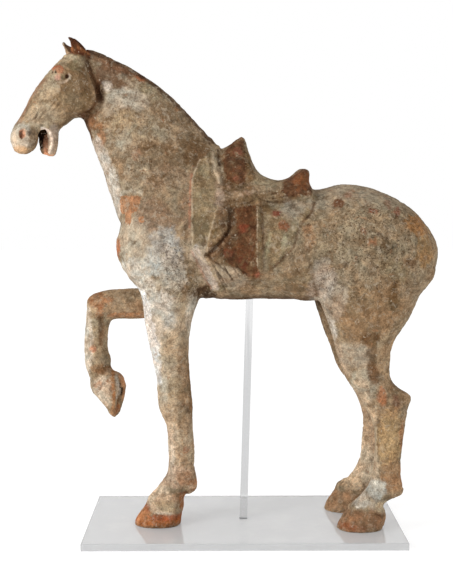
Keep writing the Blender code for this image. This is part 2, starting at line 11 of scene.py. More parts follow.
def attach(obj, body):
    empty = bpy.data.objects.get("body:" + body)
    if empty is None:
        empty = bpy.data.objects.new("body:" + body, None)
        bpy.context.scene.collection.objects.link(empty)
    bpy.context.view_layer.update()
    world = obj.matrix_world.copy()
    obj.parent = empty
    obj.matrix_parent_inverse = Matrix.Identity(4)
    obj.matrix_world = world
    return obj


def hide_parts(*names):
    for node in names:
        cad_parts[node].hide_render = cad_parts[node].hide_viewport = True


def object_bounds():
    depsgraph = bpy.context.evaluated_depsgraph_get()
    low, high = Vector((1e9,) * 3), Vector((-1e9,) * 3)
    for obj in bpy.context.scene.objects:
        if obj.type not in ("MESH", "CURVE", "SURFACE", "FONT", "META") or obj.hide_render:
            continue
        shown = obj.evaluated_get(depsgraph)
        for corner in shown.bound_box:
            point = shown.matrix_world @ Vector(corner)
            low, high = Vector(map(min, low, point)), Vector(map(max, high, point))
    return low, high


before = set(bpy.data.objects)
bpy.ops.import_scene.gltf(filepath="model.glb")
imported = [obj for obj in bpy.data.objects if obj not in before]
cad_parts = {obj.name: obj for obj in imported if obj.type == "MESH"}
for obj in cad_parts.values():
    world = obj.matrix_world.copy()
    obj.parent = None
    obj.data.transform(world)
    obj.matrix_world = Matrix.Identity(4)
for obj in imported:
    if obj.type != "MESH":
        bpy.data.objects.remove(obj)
loaded_low, loaded_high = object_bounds()


# The base plate. A flat sheet of acrylic cut to size, its edges sanded smooth, gone a little milky
# and laid on the table. It carries the three hooves that stand and has a socket for the bar.
PLATE_TINT = (0.82, 0.822, 0.826)
PLATE_DUST = (0.86, 0.86, 0.86)
PLATE_CLEARNESS = 0.5
ACRYLIC_IOR = 1.49


def add_node(tree, kind, **settings):
    node = tree.nodes.new(kind)
    for name, value in settings.items():
        setattr(node, name, value)
    return node


def feed(tree, socket, value):
    """Give a socket a number, a colour or another node's output."""
    if isinstance(value, (int, float)):
        socket.default_value = value
    elif isinstance(value, (tuple, list, np.ndarray)):
        socket.default_value = (*[float(part) for part in value], 1.0)
    else:
        tree.links.new(value, socket)


def blotches(tree, size, detail=3.0, roughness=0.6, swirl=0.0, shift=0.0, stretch=(1, 1, 1)):
    """Soft random values on the piece itself, with features about size metres across."""
    place = add_node(tree, "ShaderNodeTexCoord")
    turn = add_node(tree, "ShaderNodeMapping")
    turn.inputs["Location"].default_value = (shift, 1.7 * shift, 2.3 * shift)
    turn.inputs["Scale"].default_value = stretch
    pattern = add_node(tree, "ShaderNodeTexNoise")
    pattern.inputs["Scale"].default_value = 1.0 / size
    pattern.inputs["Detail"].default_value = detail
    pattern.inputs["Roughness"].default_value = roughness
    pattern.inputs["Distortion"].default_value = swirl
    tree.links.new(place.outputs["Object"], turn.inputs["Vector"])
    tree.links.new(turn.outputs["Vector"], pattern.inputs["Vector"])
    return pattern.outputs["Fac"]


def step_up(tree, value, low, high, bottom=0.0, top=1.0):
    """A smooth step of a value from low to high, giving bottom to top."""
    step = add_node(tree, "ShaderNodeMapRange", interpolation_type="SMOOTHSTEP")
    for name, level in zip(("From Min", "From Max", "To Min", "To Max"), (low, high, bottom, top)):
        step.inputs[name].default_value = level
    feed(tree, step.inputs["Value"], value)
    return step.outputs["Result"]


def combine(tree, operation, *values):
    sum_node = add_node(tree, "ShaderNodeMath", operation=operation)
    for socket, value in zip(sum_node.inputs, values):
        feed(tree, socket, value)
    return sum_node.outputs["Value"]


# The two colours of a mix and its result go by number, as they share their names with others
UNDER, TOP, MIXED = 6, 7, 2


def over(tree, factor, under, top, mode="MIX"):
    """One colour laid over another where the factor says so."""
    mix = add_node(tree, "ShaderNodeMix", data_type="RGBA", blend_type=mode)
    feed(tree, mix.inputs["Factor"], factor)
    feed(tree, mix.inputs[UNDER], under)
    feed(tree, mix.inputs[TOP], top)
    return mix.outputs[MIXED]


def clouds(tree, pattern, low, high, bottom=0.0, top=1.0):
    """Blotches stepped up from low to high, their pattern given as size, detail and so on."""
    return step_up(tree, blotches(tree, *pattern), low, high, bottom, top)


def new_material(name):
    material = bpy.data.materials.new(name)
    material.use_nodes = True
    shader = material.node_tree.nodes["Principled BSDF"]
    shader.inputs["Metallic"].default_value = 0.0
    return material, material.node_tree, shader


def clear_acrylic(name, clearness):
    """Clear sheet or bar with hair-fine scuffs, still to be given its tint."""
    material, tree, shader = new_material(name)
    shader.inputs["Transmission Weight"].default_value = clearness
    shader.inputs["IOR"].default_value = ACRYLIC_IOR
    scuffs = clouds(tree, (0.006, 5.0), 0.4, 0.8, 0.03, 0.09)
    tree.links.new(scuffs, shader.inputs["Roughness"])
    return material, tree, shader


sheet, sheet_tree, sheet_shader = clear_acrylic("clear_plate_sheet", PLATE_CLEARNESS)
dusty = clouds(sheet_tree, (0.03,), 0.45, 0.75)
sheet_tint = over(sheet_tree, dusty, PLATE_TINT, PLATE_DUST)
sheet_tree.links.new(sheet_tint, sheet_shader.inputs["Base Color"])
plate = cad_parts["base_plate"]
plate.data.materials.clear()
plate.data.materials.append(sheet)


# The support bar. A square bar of clear acrylic with lightly broken corners, set in the plate's
# socket and leaning a little to meet the middle of the belly, where its end is let in.
BAR_TINT = (0.60, 0.603, 0.608)
BAR_TOP_TINT = (0.79, 0.792, 0.796)
# The lightest tint, at the bar's foot just above the plate, is a painted highlight.
BAR_FOOT_HIGHLIGHT = (0.84, 0.842, 0.846)
TOP_FADE = (0.17, 0.26)
FOOT_HIGHLIGHT_FADE = (0.030, 0.038)
BAR_CLEARNESS = 1.0


def three_values(tree, vector):
    split = add_node(tree, "ShaderNodeSeparateXYZ")
    tree.links.new(vector, split.inputs["Vector"])
    return split.outputs["X"], split.outputs["Y"], split.outputs["Z"]


stock, stock_tree, stock_shader = clear_acrylic("clear_bar_stock", BAR_CLEARNESS)
bar_place = add_node(stock_tree, "ShaderNodeTexCoord").outputs["Object"]
streaks = blotches(stock_tree, 0.004, 3.0, stretch=(1, 1, 0.05))
streaks = step_up(stock_tree, streaks, 0.3, 0.7, -0.03, 0.03)
bar_height = three_values(stock_tree, bar_place)[2]
rise = combine(stock_tree, "ADD", bar_height, streaks)
stock_tint = over(stock_tree, step_up(stock_tree, rise, *TOP_FADE), BAR_TINT, BAR_TOP_TINT)
# Painted highlight: the foot of the bar is tinted lighter where it stands in the plate.
foot_highlight = step_up(stock_tree, bar_height, *FOOT_HIGHLIGHT_FADE, 1.0, 0.0)
stock_tint = over(stock_tree, foot_highlight, stock_tint, BAR_FOOT_HIGHLIGHT)
stock_tree.links.new(stock_tint, stock_shader.inputs["Base Color"])
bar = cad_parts["support_rod"]
bar.data.materials.clear()
bar.data.materials.append(stock)


# The horse's body. One hollow figure of fired clay, pressed in moulds, joined and smoothed by
# hand. Its skin here is the solid's own form, faired and drawn fine enough to carry the carving.
SKIN_VOXEL = 0.00125
SKIN_TRIANGLES = 196000
JOIN_WITHIN = 1e-5
SOLE_HEIGHT = 0.0083
HEAD_TURN = math.radians(20.0)
POLL = (-170.0, -3.0)
FAIRING_ROUNDS = 8
LOST_HEIGHT = 1.25
SOFTENING_ROUNDS = 9
SOFTENING_STRIDES = (0.55, -0.57)

# Where the muzzle and the skull begin, and with them the head's turn
MUZZLE_FROM, MUZZLE_HEIGHT = (185, 195), 400
SKULL_FROM, SKULL_HEIGHT = (150, 172), (450, 462)


def read(mesh, name="co"):
    """The place of each corner of the skin in metres, or its normal."""
    flat = np.empty(len(mesh.vertices) * 3, dtype=np.float32)
    mesh.vertices.foreach_get(name, flat)
    return flat.reshape(-1, 3).astype(float)


def write_points(mesh, points):
    mesh.vertices.foreach_set("co", points.astype(np.float32).ravel())
    mesh.update()


def neighbours_mean(mesh, values, rounds=1):
    """For each corner of the skin, the mean of a value over the corners next to it."""
    edges = np.empty(len(mesh.edges) * 2, dtype=np.int32)
    mesh.edges.foreach_get("vertices", edges)
    a, b = edges.reshape(-1, 2).T
    count = np.bincount(a, minlength=len(values)) + np.bincount(b, minlength=len(values))
    count = np.maximum(count, 1)[:, None]
    for _ in range(rounds):
        total = np.empty_like(values)
        for axis in range(values.shape[1]):
            total[:, axis] = (np.bincount(a, values[b, axis], len(values))
                              + np.bincount(b, values[a, axis], len(values)))
        values = total / count
    return values


def soften(mesh, weight, rounds):
    """Even out small bumps and keep the size: each step in is followed by a step back out."""
    for _ in range(rounds):
        for stride in SOFTENING_STRIDES:
            points = read(mesh)
            points += (neighbours_mean(mesh, points) - points) * (weight * stride)[:, None]
            write_points(mesh, points)


def smooth_step(value, low, high):
    t = np.clip((value - low) / (high - low), 0, 1)
    return t * t * (3 - 2 * t)


def add_object(name, data):
    made = bpy.data.objects.new(name, data)
    bpy.context.scene.collection.objects.link(made)
    return made


def shaped(made):
    """The object's mesh with its modifiers applied."""
    bpy.context.view_layer.update()
    graph = bpy.context.evaluated_depsgraph_get()
    return bpy.data.meshes.new_from_object(made.evaluated_get(graph))


def side_view(points):
    """Place of each point in the figure's side view in mm, the head turned back straight.

    Gives front-to-back, height above the soles, how far out to the side, and 1 on the head.
    """
    x, y, z = (points * 1000.0).T
    z = z - SOLE_HEIGHT * 1000.0
    muzzle = smooth_step(-x, *MUZZLE_FROM) * (z > MUZZLE_HEIGHT)
    skull = smooth_step(-x, *SKULL_FROM) * smooth_step(z, *SKULL_HEIGHT)
    head = np.maximum(muzzle, skull)
    dx, dy = x - POLL[0], y - POLL[1]
    straight_x = dx * math.cos(HEAD_TURN) + dy * math.sin(HEAD_TURN) + POLL[0]
    straight_y = -dx * math.sin(HEAD_TURN) + dy * math.cos(HEAD_TURN)
    return x + (straight_x - x) * head, z, y + (straight_y - y) * head, head


def finer_work(x, z, out, head):
    """1 where the figure is modelled in detail: the face, ears, saddle, cloths and hooves."""
    saddle = (x > -64) * (x < 86) * (z > 262) * 0.8
    hooves = (z < 32) * 0.6
    raised = (x < -130) * (z < 175) * (z > 100) * 0.8
    return np.maximum.reduce([head, saddle, hooves, raised])


def joined(node, room=0.0):
    """The solid's own mesh with its corners joined, and grown by a little room if asked."""
    mesh = node.data.copy()
    form = bmesh.new()
    form.from_mesh(mesh)
    bmesh.ops.remove_doubles(form, verts=form.verts, dist=JOIN_WITHIN)
    if room:
        form.normal_update()
        for corner in form.verts:
            corner.co += corner.normal * room
    form.to_mesh(mesh)
    form.free()
    return mesh


def kept_crisp(x, z, head):
    """How much of the solid's own edges stays: most on the ears and muzzle, some on the head."""
    ears = smooth_step(z, 514, 522) * (x < -165)
    muzzle = (x < -205) & (z < 446) & (head > 0.5)
    return np.maximum(np.maximum(0.35 * head, ears * 0.9), 0.8 * muzzle)[:, None]


def fine_skin(node):
    """The solid's form as one even fine skin, with its facets faired away and its size kept."""
    blank = add_object("blank", joined(node))
    split = blank.modifiers.new("split", "SUBSURF")
    split.levels = split.render_levels = 2
    split.subdivision_type = "SIMPLE"
    faceted = read(shaped(blank))
    split.subdivision_type = "CATMULL_CLARK"
    rounded = shaped(blank)
    points = read(rounded)
    lost = faceted - points
    x, z, out, head = side_view(faceted)
    crisp = kept_crisp(x, z, head)
    even_loss = neighbours_mean(rounded, lost, FAIRING_ROUNDS) * LOST_HEIGHT
    write_points(rounded, points + even_loss * (1 - crisp) + lost * crisp)
    bpy.data.objects.remove(blank, do_unlink=True)

    blank = add_object("blank", rounded)
    even = blank.modifiers.new("even", "REMESH")
    even.mode = "VOXEL"
    even.voxel_size = SKIN_VOXEL
    skin = shaped(blank)
    bpy.data.objects.remove(blank, do_unlink=True)
    soften(skin, 1 - 0.4 * finer_work(*side_view(read(skin))), SOFTENING_ROUNDS)
    return skin


skin = fine_skin(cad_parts["horse"])


# The carving. Eyes, nostrils, lips and cheeks are cut in the soft clay, and the saddle, its two
# cloths, the girth and their folds stand a millimetre or two proud of the body.
CLOTH_EDGE = [(-47.5, 407), (-51, 400), (-55, 389), (-56.5, 378), (-56, 352), (-56, 330),
              (-55.2, 315), (-50, 306.5), (-44, 300), (-40, 295.5)]
CLOTH_EDGE_BRAID = [(-57, 391), (-58, 374), (-58.5, 352), (-58.3, 335)]
FRONT_STRAP = [(-34.4, 416), (-33.8, 407), (-31.9, 399), (-29.5, 390), (-26.6, 382)]
STRAP_END = [(-28.5, 358), (-32.4, 346.5), (-34.1, 340), (-36.7, 331.5), (-38.6, 324),
             (-39.8, 316), (-40, 307)]
BOW_CREVICE = [(-28.3, 419), (-27.9, 409), (-26.6, 401)]
SEAM_STRIP = [(15.8, 354), (15.8, 336), (15.3, 322), (16.2, 291)]
FLAP_CREASE = [(-15.6, 343), (-15.6, 336), (-17.6, 330.6), (-23.8, 322), (-32, 313), (-39.5, 305)]
FLAP_SEAMS = [
    [(12.9, 356), (12.9, 337), (12.4, 322), (12.9, 293)],
    [(18.8, 352), (18.7, 334), (18.2, 322), (19.5, 289)],
]
REAR_SEAM = [(80, 370), (76, 361), (70.5, 349), (60, 339), (55.5, 328), (51.5, 315), (43, 305),
             (32, 294), (26, 288.6)]
FOLDS = [
    [(-33, 294), (-27.6, 281.4), (-20, 264)],
    [(-38, 304), (-31, 298), (-22, 290), (-15.5, 283)],
    [(-24.4, 298), (-19.8, 290), (-13.4, 279)],
    [(-17, 299), (-12, 291), (-6, 283)],
    [(-10, 297), (-5, 290), (2, 285)],
    [(-30, 288), (-24, 279), (-19, 270)],
]
GIRTH = [(-52, 312), (-44.4, 295), (-37, 281), (-31, 269)]
SEAT_WRINKLES = [
    [(12, 372), (26, 373), (41, 380)],
    [(11, 370), (26, 369), (44, 373.5)],
    [(12, 368), (28, 365), (47, 368)],
    [(13, 366), (27, 361), (42, 361)],
    [(-14, 364), (-2, 360), (9, 363)],
]
UPPER_LID = [(-214.5, 498), (-212.5, 504), (-208, 508), (-203, 507), (-199.5, 502.5)]
LOWER_LID = [(-198, 497.5), (-196.9, 495.5), (-198.5, 492), (-202, 489.5), (-206, 488),
             (-210, 488.5)]
CRUMBS_ON_SEAT = (-7, 374)
EYE_BALL = (-205.5, 496.5)
EYE_POCKET = (-200, 495.2)
PUPIL = (-212.6, 499.6)
BROW = [(-213, 510), (-207, 513.5), (-199, 512.5), (-193, 508)]
NOSTRIL_RIM = [(-251.5, 430), (-251, 436), (-247.5, 440.5), (-243.5, 440), (-243, 434), (-245, 429)]
NOSTRIL_HOLE = [(-248.6, 435.5), (-249.2, 432.5), (-248, 429.5)]
NOSTRIL_SHADOW = (-240.5, 434.5)
MUZZLE_FOLDS = (-226, 455)
JAW_HOLLOW = (-159.9, 475)
FORELOCK = (-190, 515)
LIP_RIM = [(-226, 440), (-221.5, 439), (-217.3, 435.5), (-215.6, 430), (-215.4, 424.5),
           (-216.4, 419), (-218.3, 413)]
JAW_LINE = [(-175, 513), (-171.2, 504), (-166.6, 493), (-163.6, 484), (-161.6, 476.5),
            (-163.3, 469), (-170, 462), (-177, 457.5)]
RAISED_TENDON = [(-162, 228), (-163, 212), (-164, 198)]
RAISED_CORONET = [(-173, 151), (-165, 159), (-155.6, 163.5)]
SOLE_SLIT = [(-142.6, 151), (-141.8, 145), (-141.9, 140), (-143.0, 134)]
FORE_TENDON = [(-66, 126), (-66, 100), (-65, 78)]
FORE_CORONET = [(-108, 31), (-92, 23), (-70, 26)]
HIND_TENDON = [(143, 143), (145, 108), (146, 72)]
HIND_CORONET = [(116, 24), (134, 22), (156, 20)]

# The soles stay flat below this height, and the carved skin stays inside the solid's own box
SOLE_RIM = 1.2
KEPT_IN = np.array([0.0001, 0.0, 0.0])

# Where the form is eased: place, reach, shift along and up, and which side of the figure, 0 for both
NUDGES = [
    ((-238, 428), (6.5, 12), (5.5, 0.0), 0),
    ((-231.5, 434), (4, 4), (0.0, -3.0), 0),
    ((-190, 530), (7, 9), (1.0, 0.0), -1),
    ((-195, 532), (5, 7), (-1.2, 0.0), 1),
    ((-190, 533), (4, 4), (-0.6, -1.8), 1),
    ((-6, 430), (12, 10), (1.4, 2.5), 0),
    ((-4, 410), (12, 12), (1.4, 0.0), 0),
    ((62, 396), (10, 8), (1.0, 0.8), 0),
    ((77, 382), (6, 8), (-1.8, 0.0), 0),
    ((30, 388), (20, 8), (0.0, -1.0), 0),
    ((92, 378), (16, 8), (0.0, 1.2), 0),
    ((-184, 252), (12, 10), (-1.4, 1.0), 1),
    ((-171, 147), (6, 9), (-2.8, -0.5), 1),
    ((-142, 145), (6, 12), (-1.6, 0.0), 1),
    ((-140, 228), (26, 5), (0.0, -1.2), 1),
    ((-57, 42), (8, 8), (0.6, -3.8), -1),
    ((-150, 118), (6, 8), (1.0, -2.2), 1),
    ((-138, 331), (8, 9), (3.0, 0.0), 0),
    ((-141, 306), (7, 18), (1.9, 0.0), 0),
    ((-127, 284), (8, 12), (-1.2, 0.0), 0),
    ((-160, 523), (14, 8), (0.1, 0.5), 0),
    ((-125, 507), (22, 14), (0.1, 0.3), 0),
    ((-92, 484), (26, 16), (0.6, 0.9), 0),
    ((-42, 434), (10, 10), (0.8, 0.8), 0),
    ((200, 320), (11, 17), (1.2, 0.3), 0),
    ((-176, 446), (7, 9), (-1.8, -0.8), 0),
    ((-201, 446), (8, 5), (0.3, -1.6), 0),
    ((-185, 452.5), (5, 4), (0.0, 1.2), 0),
    ((-155, 212), (6, 16), (1.2, 0.0), 1),
    ((-186, 172), (6, 9), (-1.5, 0.0), 1),
    ((-160, 126), (7, 8), (1.2, 0.6), 1),
    ((177, 148), (6, 7), (2.6, -0.6), -1),
    ((158, 28), (6, 9), (-1.6, 0.0), -1),
    ((-68, 20), (6, 14), (-1.2, 0.0), -1),
    ((-100, 44), (8, 8), (1.6, -0.4), -1),
    ((-124, 7), (10, 10), (-1.5, 0.0), -1),
    ((18, 263), (60, 8), (0.0, -1.0), 0),
    ((-42, 263), (9, 8), (0.0, -2.6), 0),
    ((192, 270), (12, 14), (0.3, 0.0), 0),
    ((184, 246), (9, 12), (1.0, -0.2), 0),
    ((170, 232), (12, 24), (2.0, -0.6), 0),
    ((160, 198), (8, 14), (1.8, 0.0), 0),
    ((160, 184), (8, 10), (1.2, 0.0), -1),
    ((91, 226), (10, 36), (-2.2, 0.0), 1),
    ((115, 31), (8, 7), (-1.6, 3.0), 1),
    ((-8, 263), (26, 8), (0.0, -2.9), 0),
    ((70, 262), (15, 8), (0.0, -3.8), 0),
]


def along(points, spacing=3.0):
    """A smooth open line through a few places of the side view."""
    points = np.asarray(points, dtype=float)
    padded = np.vstack([2 * points[0] - points[1], points, 2 * points[-1] - points[-2]])
    line = []
    for before, start, end, after in zip(padded, padded[1:], padded[2:], padded[3:]):
        for t in np.linspace(0, 1, max(2, int(np.abs(end - start).max() / spacing)), False):
            pull = 2 * before - 5 * start + 4 * end - after
            twist = 3 * (start - end) + after - before
            line.append(start + 0.5 * t * (end - before + t * (pull + t * twist)))
    line.append(points[-1])
    return np.array(line)


def moved(places, along_by, up_by):
    """The same line a few mm away."""
    return [(x + along_by, z + up_by) for x, z in places]


def off_line(x, z, places, reach=12.0):
    """Distance from each point to a line in the side view, as far as reach."""
    line = along(places)
    best = np.full(x.shape, reach)
    low, high = line.min(axis=0) - reach, line.max(axis=0) + reach
    near = np.flatnonzero((x > low[0]) & (x < high[0]) & (z > low[1]) & (z < high[1]))
    for (x0, z0), (x1, z1) in zip(line, line[1:]):
        run = (x1 - x0) ** 2 + (z1 - z0) ** 2
        t = np.clip(((x[near] - x0) * (x1 - x0) + (z[near] - z0) * (z1 - z0)) / run, 0, 1)
        away = np.hypot(x[near] - x0 - t * (x1 - x0), z[near] - z0 - t * (z1 - z0))
        best[near] = np.minimum(best[near], away)
    return best


def stroke(x, z, places, half_width, edge=1.2):
    """1 on a line of the side view, fading to 0 at its edges."""
    return 1 - smooth_step(off_line(x, z, places) - half_width, -edge / 2, edge / 2)


def spot(x, z, place, reach, soft=0.35, tilt=0.0):
    """1 inside an oval of the side view, fading to 0 about its edge."""
    turn = math.radians(tilt)
    dx, dz = x - place[0], z - place[1]
    u = (dx * math.cos(turn) + dz * math.sin(turn)) / reach[0]
    v = (dz * math.cos(turn) - dx * math.sin(turn)) / reach[1]
    return 1 - smooth_step(np.hypot(u, v), 1 - soft, 1 + soft)


def grain(points, size, octaves=2, shift=0.0, stretch=(1.0, 1.0, 1.0)):
    """Random swellings from about -1 to 1, with features about size mm across."""
    cells = (points * np.array(stretch) * (1000.0 / size) + shift).tolist()
    return np.array([noise.fractal(cell, 1.0, 2.0, octaves) for cell in cells])


def nudge(points):
    """Ease the form over by a few mm at the places where the hand did."""
    for place, reach, (forward, up), side in NUDGES:
        x, z, out, head = side_view(points)
        amount = spot(x, z, place, reach, 0.6)
        if side:
            amount *= out * side > 0
        turn = HEAD_TURN * head
        points[:, 0] += amount * forward * np.cos(turn) / 1000.0
        points[:, 1] += amount * forward * np.sin(turn) / 1000.0
        points[:, 2] += amount * up / 1000.0


def raise_lines(relief, x, z, where, rows):
    """Raise lines of the side view by a height in mm, or cut them in where it is below 0."""
    for height, places, half_width, edge in rows:
        relief += height * stroke(x, z, places, half_width, edge) * where


def carve_saddlery(relief, x, z, trunk, fray):
    raise_lines(relief, x, z, trunk, [
        (0.9 * fray, CLOTH_EDGE, 1.1, 2.2),
        (0.5, CLOTH_EDGE_BRAID, 1.8, 2.0),
        (1.2 * fray, FRONT_STRAP, 1.9 * fray, 2.8),
        (0.9 * fray, STRAP_END, 1.2 * fray, 2.4),
        (-1.5, BOW_CREVICE, 1.2, 2.4),
        (-2.2, FLAP_CREASE[1:], 0.7 * fray, 2.8),
        (-1.2, moved(FLAP_CREASE[2:], 4, -5), 3.0, 5.0),
        *[(0.8, seam, 1.0, 2.2) for seam in FLAP_SEAMS],
        (-1.2 * fray, REAR_SEAM[1:], 0.9 * fray, 2.6),
        (0.8, moved(REAR_SEAM, 4.0, -1.5), 1.4, 3.2),
        *[(-2.3 * fray, fold, 0.8, 2.8) for fold in FOLDS],
        (0.9, GIRTH, 4.0, 2.4),
        *[(-0.9 * fray, wrinkle, 0.6, 2.0) for wrinkle in SEAT_WRINKLES],
    ])


def carve_face(relief, points, x, z, face, flank, fray):
    """Eyelids, eye, brow, nostril, the folds of the muzzle, the lips and the jaw's edge."""
    raise_lines(relief, x, z, face, [
        (0.8, UPPER_LID, 1.1, 2.2),
        (1.1, LOWER_LID, 1.0, 1.8),
        (0.8, BROW, 1.8, 4.5),
        (1.4, NOSTRIL_RIM, 1.3, 2.4),
        (-2.5, NOSTRIL_HOLE, 1.1, 2.0),
        (0.7, LIP_RIM, 1.3, 1.6),
    ])
    for height, place, reach, soft, tilt in (
        (0.7, EYE_BALL, (4.5, 5.5), 0.8, 0),
        (-2.2, EYE_POCKET, (2.2, 1.9), 0.35, 40),
        (-1.0, PUPIL, (1.3, 1.3), 0.35, 0),
        (-1.4, NOSTRIL_SHADOW, (2.4, 2.2), 0.35, 0),
    ):
        relief += height * spot(x, z, place, reach, soft, tilt) * face
    across_fold = 0.78 * x - 0.62 * z
    ripples = np.sin(across_fold * 1.2 + 3.2 * grain(points, 12.0, 2, 3.0))
    ripples *= np.clip(0.6 + 1.6 * grain(points, 8.0, 1, 15.0), 0, 1.3)
    relief += 1.35 * ripples * spot(x, z, MUZZLE_FOLDS, (19, 11), 0.5, 22) * face
    jaw = flank * (z > 452) * (x < -150)
    raise_lines(relief, x, z, jaw, [(-1.5, JAW_LINE, 1.1 * fray, 4.0)])
    relief -= 1.3 * spot(x, z, JAW_HOLLOW, (3.0, 7.0), tilt=10) * flank


def carve_legs(relief, x, z, out, flank):
    """Tendons, the upper edges of the hooves and the split sole of the raised hoof."""
    right_fore = (out > 5) & (x < -100) & (z < 270)
    left_fore = (out < 0) & (x < -40) & (x > -130) & (z < 200)
    hind = (x > 90) & (z < 200)
    raise_lines(relief, x, z, right_fore, [
        (-1.4, RAISED_TENDON, 1.8, 3.4),
        (0.9, RAISED_CORONET, 1.6, 2.4),
        (-1.5, SOLE_SLIT, 0.8, 2.0),
    ])
    raise_lines(relief, x, z, left_fore * flank, [(-0.8, FORE_TENDON, 1.2, 2.6)])
    raise_lines(relief, x, z, left_fore, [(0.6, FORE_CORONET, 1.4, 2.6)])
    raise_lines(relief, x, z, hind * flank, [(0.7, HIND_TENDON, 0.9, 2.4)])
    raise_lines(relief, x, z, hind, [(0.7, HIND_CORONET, 1.4, 2.4)])


def roughen(relief, points, x, z, head, face):
    """The rough skin of old clay: swellings, pits, crust on rump and breast, the forelock."""
    rough = 0.45 * grain(points, 30.0) + 0.34 * grain(points, 9.0, 2, 31.0)
    rough += 0.24 * grain(points, 4.2, 2, 77.0)
    pits = smooth_step(grain(points, 6.5, 2, 12.0), 0.30, 0.55)
    crust = smooth_step(grain(points, 5.0, 2, 55.0), 0.28, 0.52)
    crusted = spot(x, z, (130, 305), (70, 60)) + spot(x, z, (-80, 295), (35, 45))
    curls = spot(x, z, FORELOCK, (13, 6), tilt=-30) * head
    quiet = 1 - 0.55 * face
    relief += (rough - 0.75 * pits + 0.5 * crust * np.clip(0.35 + crusted, 0, 1)) * quiet
    relief += 1.3 * grain(points, 5.5, 1, 5.0) * curls


def carve(mesh):
    """Raise and cut the figure's relief in its skin, in mm along its own normals."""
    points = read(mesh)
    nudge(points)
    write_points(mesh, points)
    normals = read(mesh, "normal")
    x, z, out, head = side_view(points)
    fray = np.clip(0.85 + 0.75 * grain(points, 11.0, 2, 23.0), 0.25, 1.5)
    turned = normals[:, 1] * np.cos(HEAD_TURN * head) - normals[:, 0] * np.sin(HEAD_TURN * head)
    flank = smooth_step(turned * np.sign(out), 0.15, 0.5)
    trunk, face = flank * (head < 0.5) * (z > 235), flank * (head > 0.5)

    relief = np.zeros(len(points))
    carve_saddlery(relief, x, z, trunk, fray)
    relief += 1.7 * grain(points, 5.0, 1, 46.0) * spot(x, z, CRUMBS_ON_SEAT, (19, 9), 0.4) * trunk
    carve_face(relief, points, x, z, face, flank, fray)
    carve_legs(relief, x, z, out, flank)
    roughen(relief, points, x, z, head, face)
    relief[(z < SOLE_RIM) & (normals[:, 2] < -0.5)] = 0

    points += normals * relief[:, None] / 1000.0
    points = np.clip(points, np.array(loaded_low) + KEPT_IN, np.array(loaded_high) - KEPT_IN)
    points[:, 2] = np.maximum(points[:, 2], SOLE_HEIGHT)
    write_points(mesh, points)


carve(skin)


# The clay piece itself: the carved skin thinned where it is plain, with the square seat that
# the support bar's upper end stands in cut out of the belly.
BAR_CLEARANCE = 0.0003
KEEP_DETAIL = 1.5e-5
DETAIL_WEIGHT = 0.3


def fired_piece(mesh):
    blank = add_object("blank", mesh)
    seat = add_object("seat", joined(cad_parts["support_rod"], BAR_CLEARANCE))
    plain = blank.vertex_groups.new(name="plain")
    detail = finer_work(*side_view(read(mesh))) > 0.5
    plain.add(np.flatnonzero(detail).tolist(), DETAIL_WEIGHT, "REPLACE")
    plain.add(np.flatnonzero(~detail).tolist(), 1.0, "REPLACE")
    thin = blank.modifiers.new("thin", "DECIMATE")
    thin.ratio = SKIN_TRIANGLES / (2.0 * len(mesh.polygons))
    thin.vertex_group = "plain"
    thin.vertex_group_factor = KEEP_DETAIL
    let_in = blank.modifiers.new("let_in", "BOOLEAN")
    let_in.operation = "DIFFERENCE"
    let_in.solver = "EXACT"
    let_in.object = seat
    clay = shaped(blank)
    clay.name = "pottery_horse"
    bpy.data.objects.remove(blank, do_unlink=True)
    bpy.data.objects.remove(seat, do_unlink=True)
    for face in clay.polygons:
        face.use_smooth = True
    return add_object("pottery_horse", clay)


horse = fired_piece(skin)


# The slip, paint and burial earth. Orange clay shows where the pale slip has gone, red pigment
# is left on the saddle, and brown earth and dark specks cling to the hollows and the back. Some of
# the coat is painted light: shade in the creases, throat, mouth and under the belly, and
# highlights on the ridges and the left-facing edges.
ROOM_LIGHT = np.array([1.09, 1.12, 1.15])
CLAY_GLOSS = 0.06
BUMP_STRENGTH = 0.8
BUMP_HEIGHT = 0.0009


def tone(paint):
    """A finish's colour in the shader, from how it looks on screen in the studio's light."""
    screen = np.array(paint) / 255.0
    return np.where(screen > 0.04045, ((screen + 0.055) / 1.055) ** 2.4, screen / 12.92) / ROOM_LIGHT


BUFF_SLIP = (150, 131, 106)
PALE_SLIP = (190, 176, 155)
WHITE_SLIP_AND_HIGHLIGHT = (214, 205, 193)
CHALK_AND_HIGHLIGHT = (232, 230, 227)
CLAY = (172, 125, 91)
BROWN_EARTH = (112, 86, 59)
DARK_EARTH = (78, 55, 36)
CREASE_EARTH_AND_SHADE = (62, 40, 25)
OLD_RED = (96, 60, 38)
BRAID_PINK = (160, 116, 92)
SEAM_RED = (104, 74, 54)
WORN_EDGE = (202, 184, 158)


def inside(x, z, outline, reach=8.0):
    """How far inside a closed outline of the side view, in mm, and below 0 outside it."""
    corners = along(outline + outline[:1])
    within = np.zeros(x.shape, dtype=bool)
    for (x0, z0), (x1, z1) in zip(corners, corners[1:]):
        if z0 == z1:
            continue
        crosses = (z0 > z) != (z1 > z)
        within ^= crosses & (x < (x1 - x0) * (z - z0) / (z1 - z0) + x0)
    depth = off_line(x, z, outline + outline[:1], reach)
    return np.where(within, depth, -depth)


def lay(colour, paint, weight):
    """Brush a finish over the coat where the weight says so."""
    colour += (tone(paint) - colour) * np.clip(weight, 0, 1)[:, None]


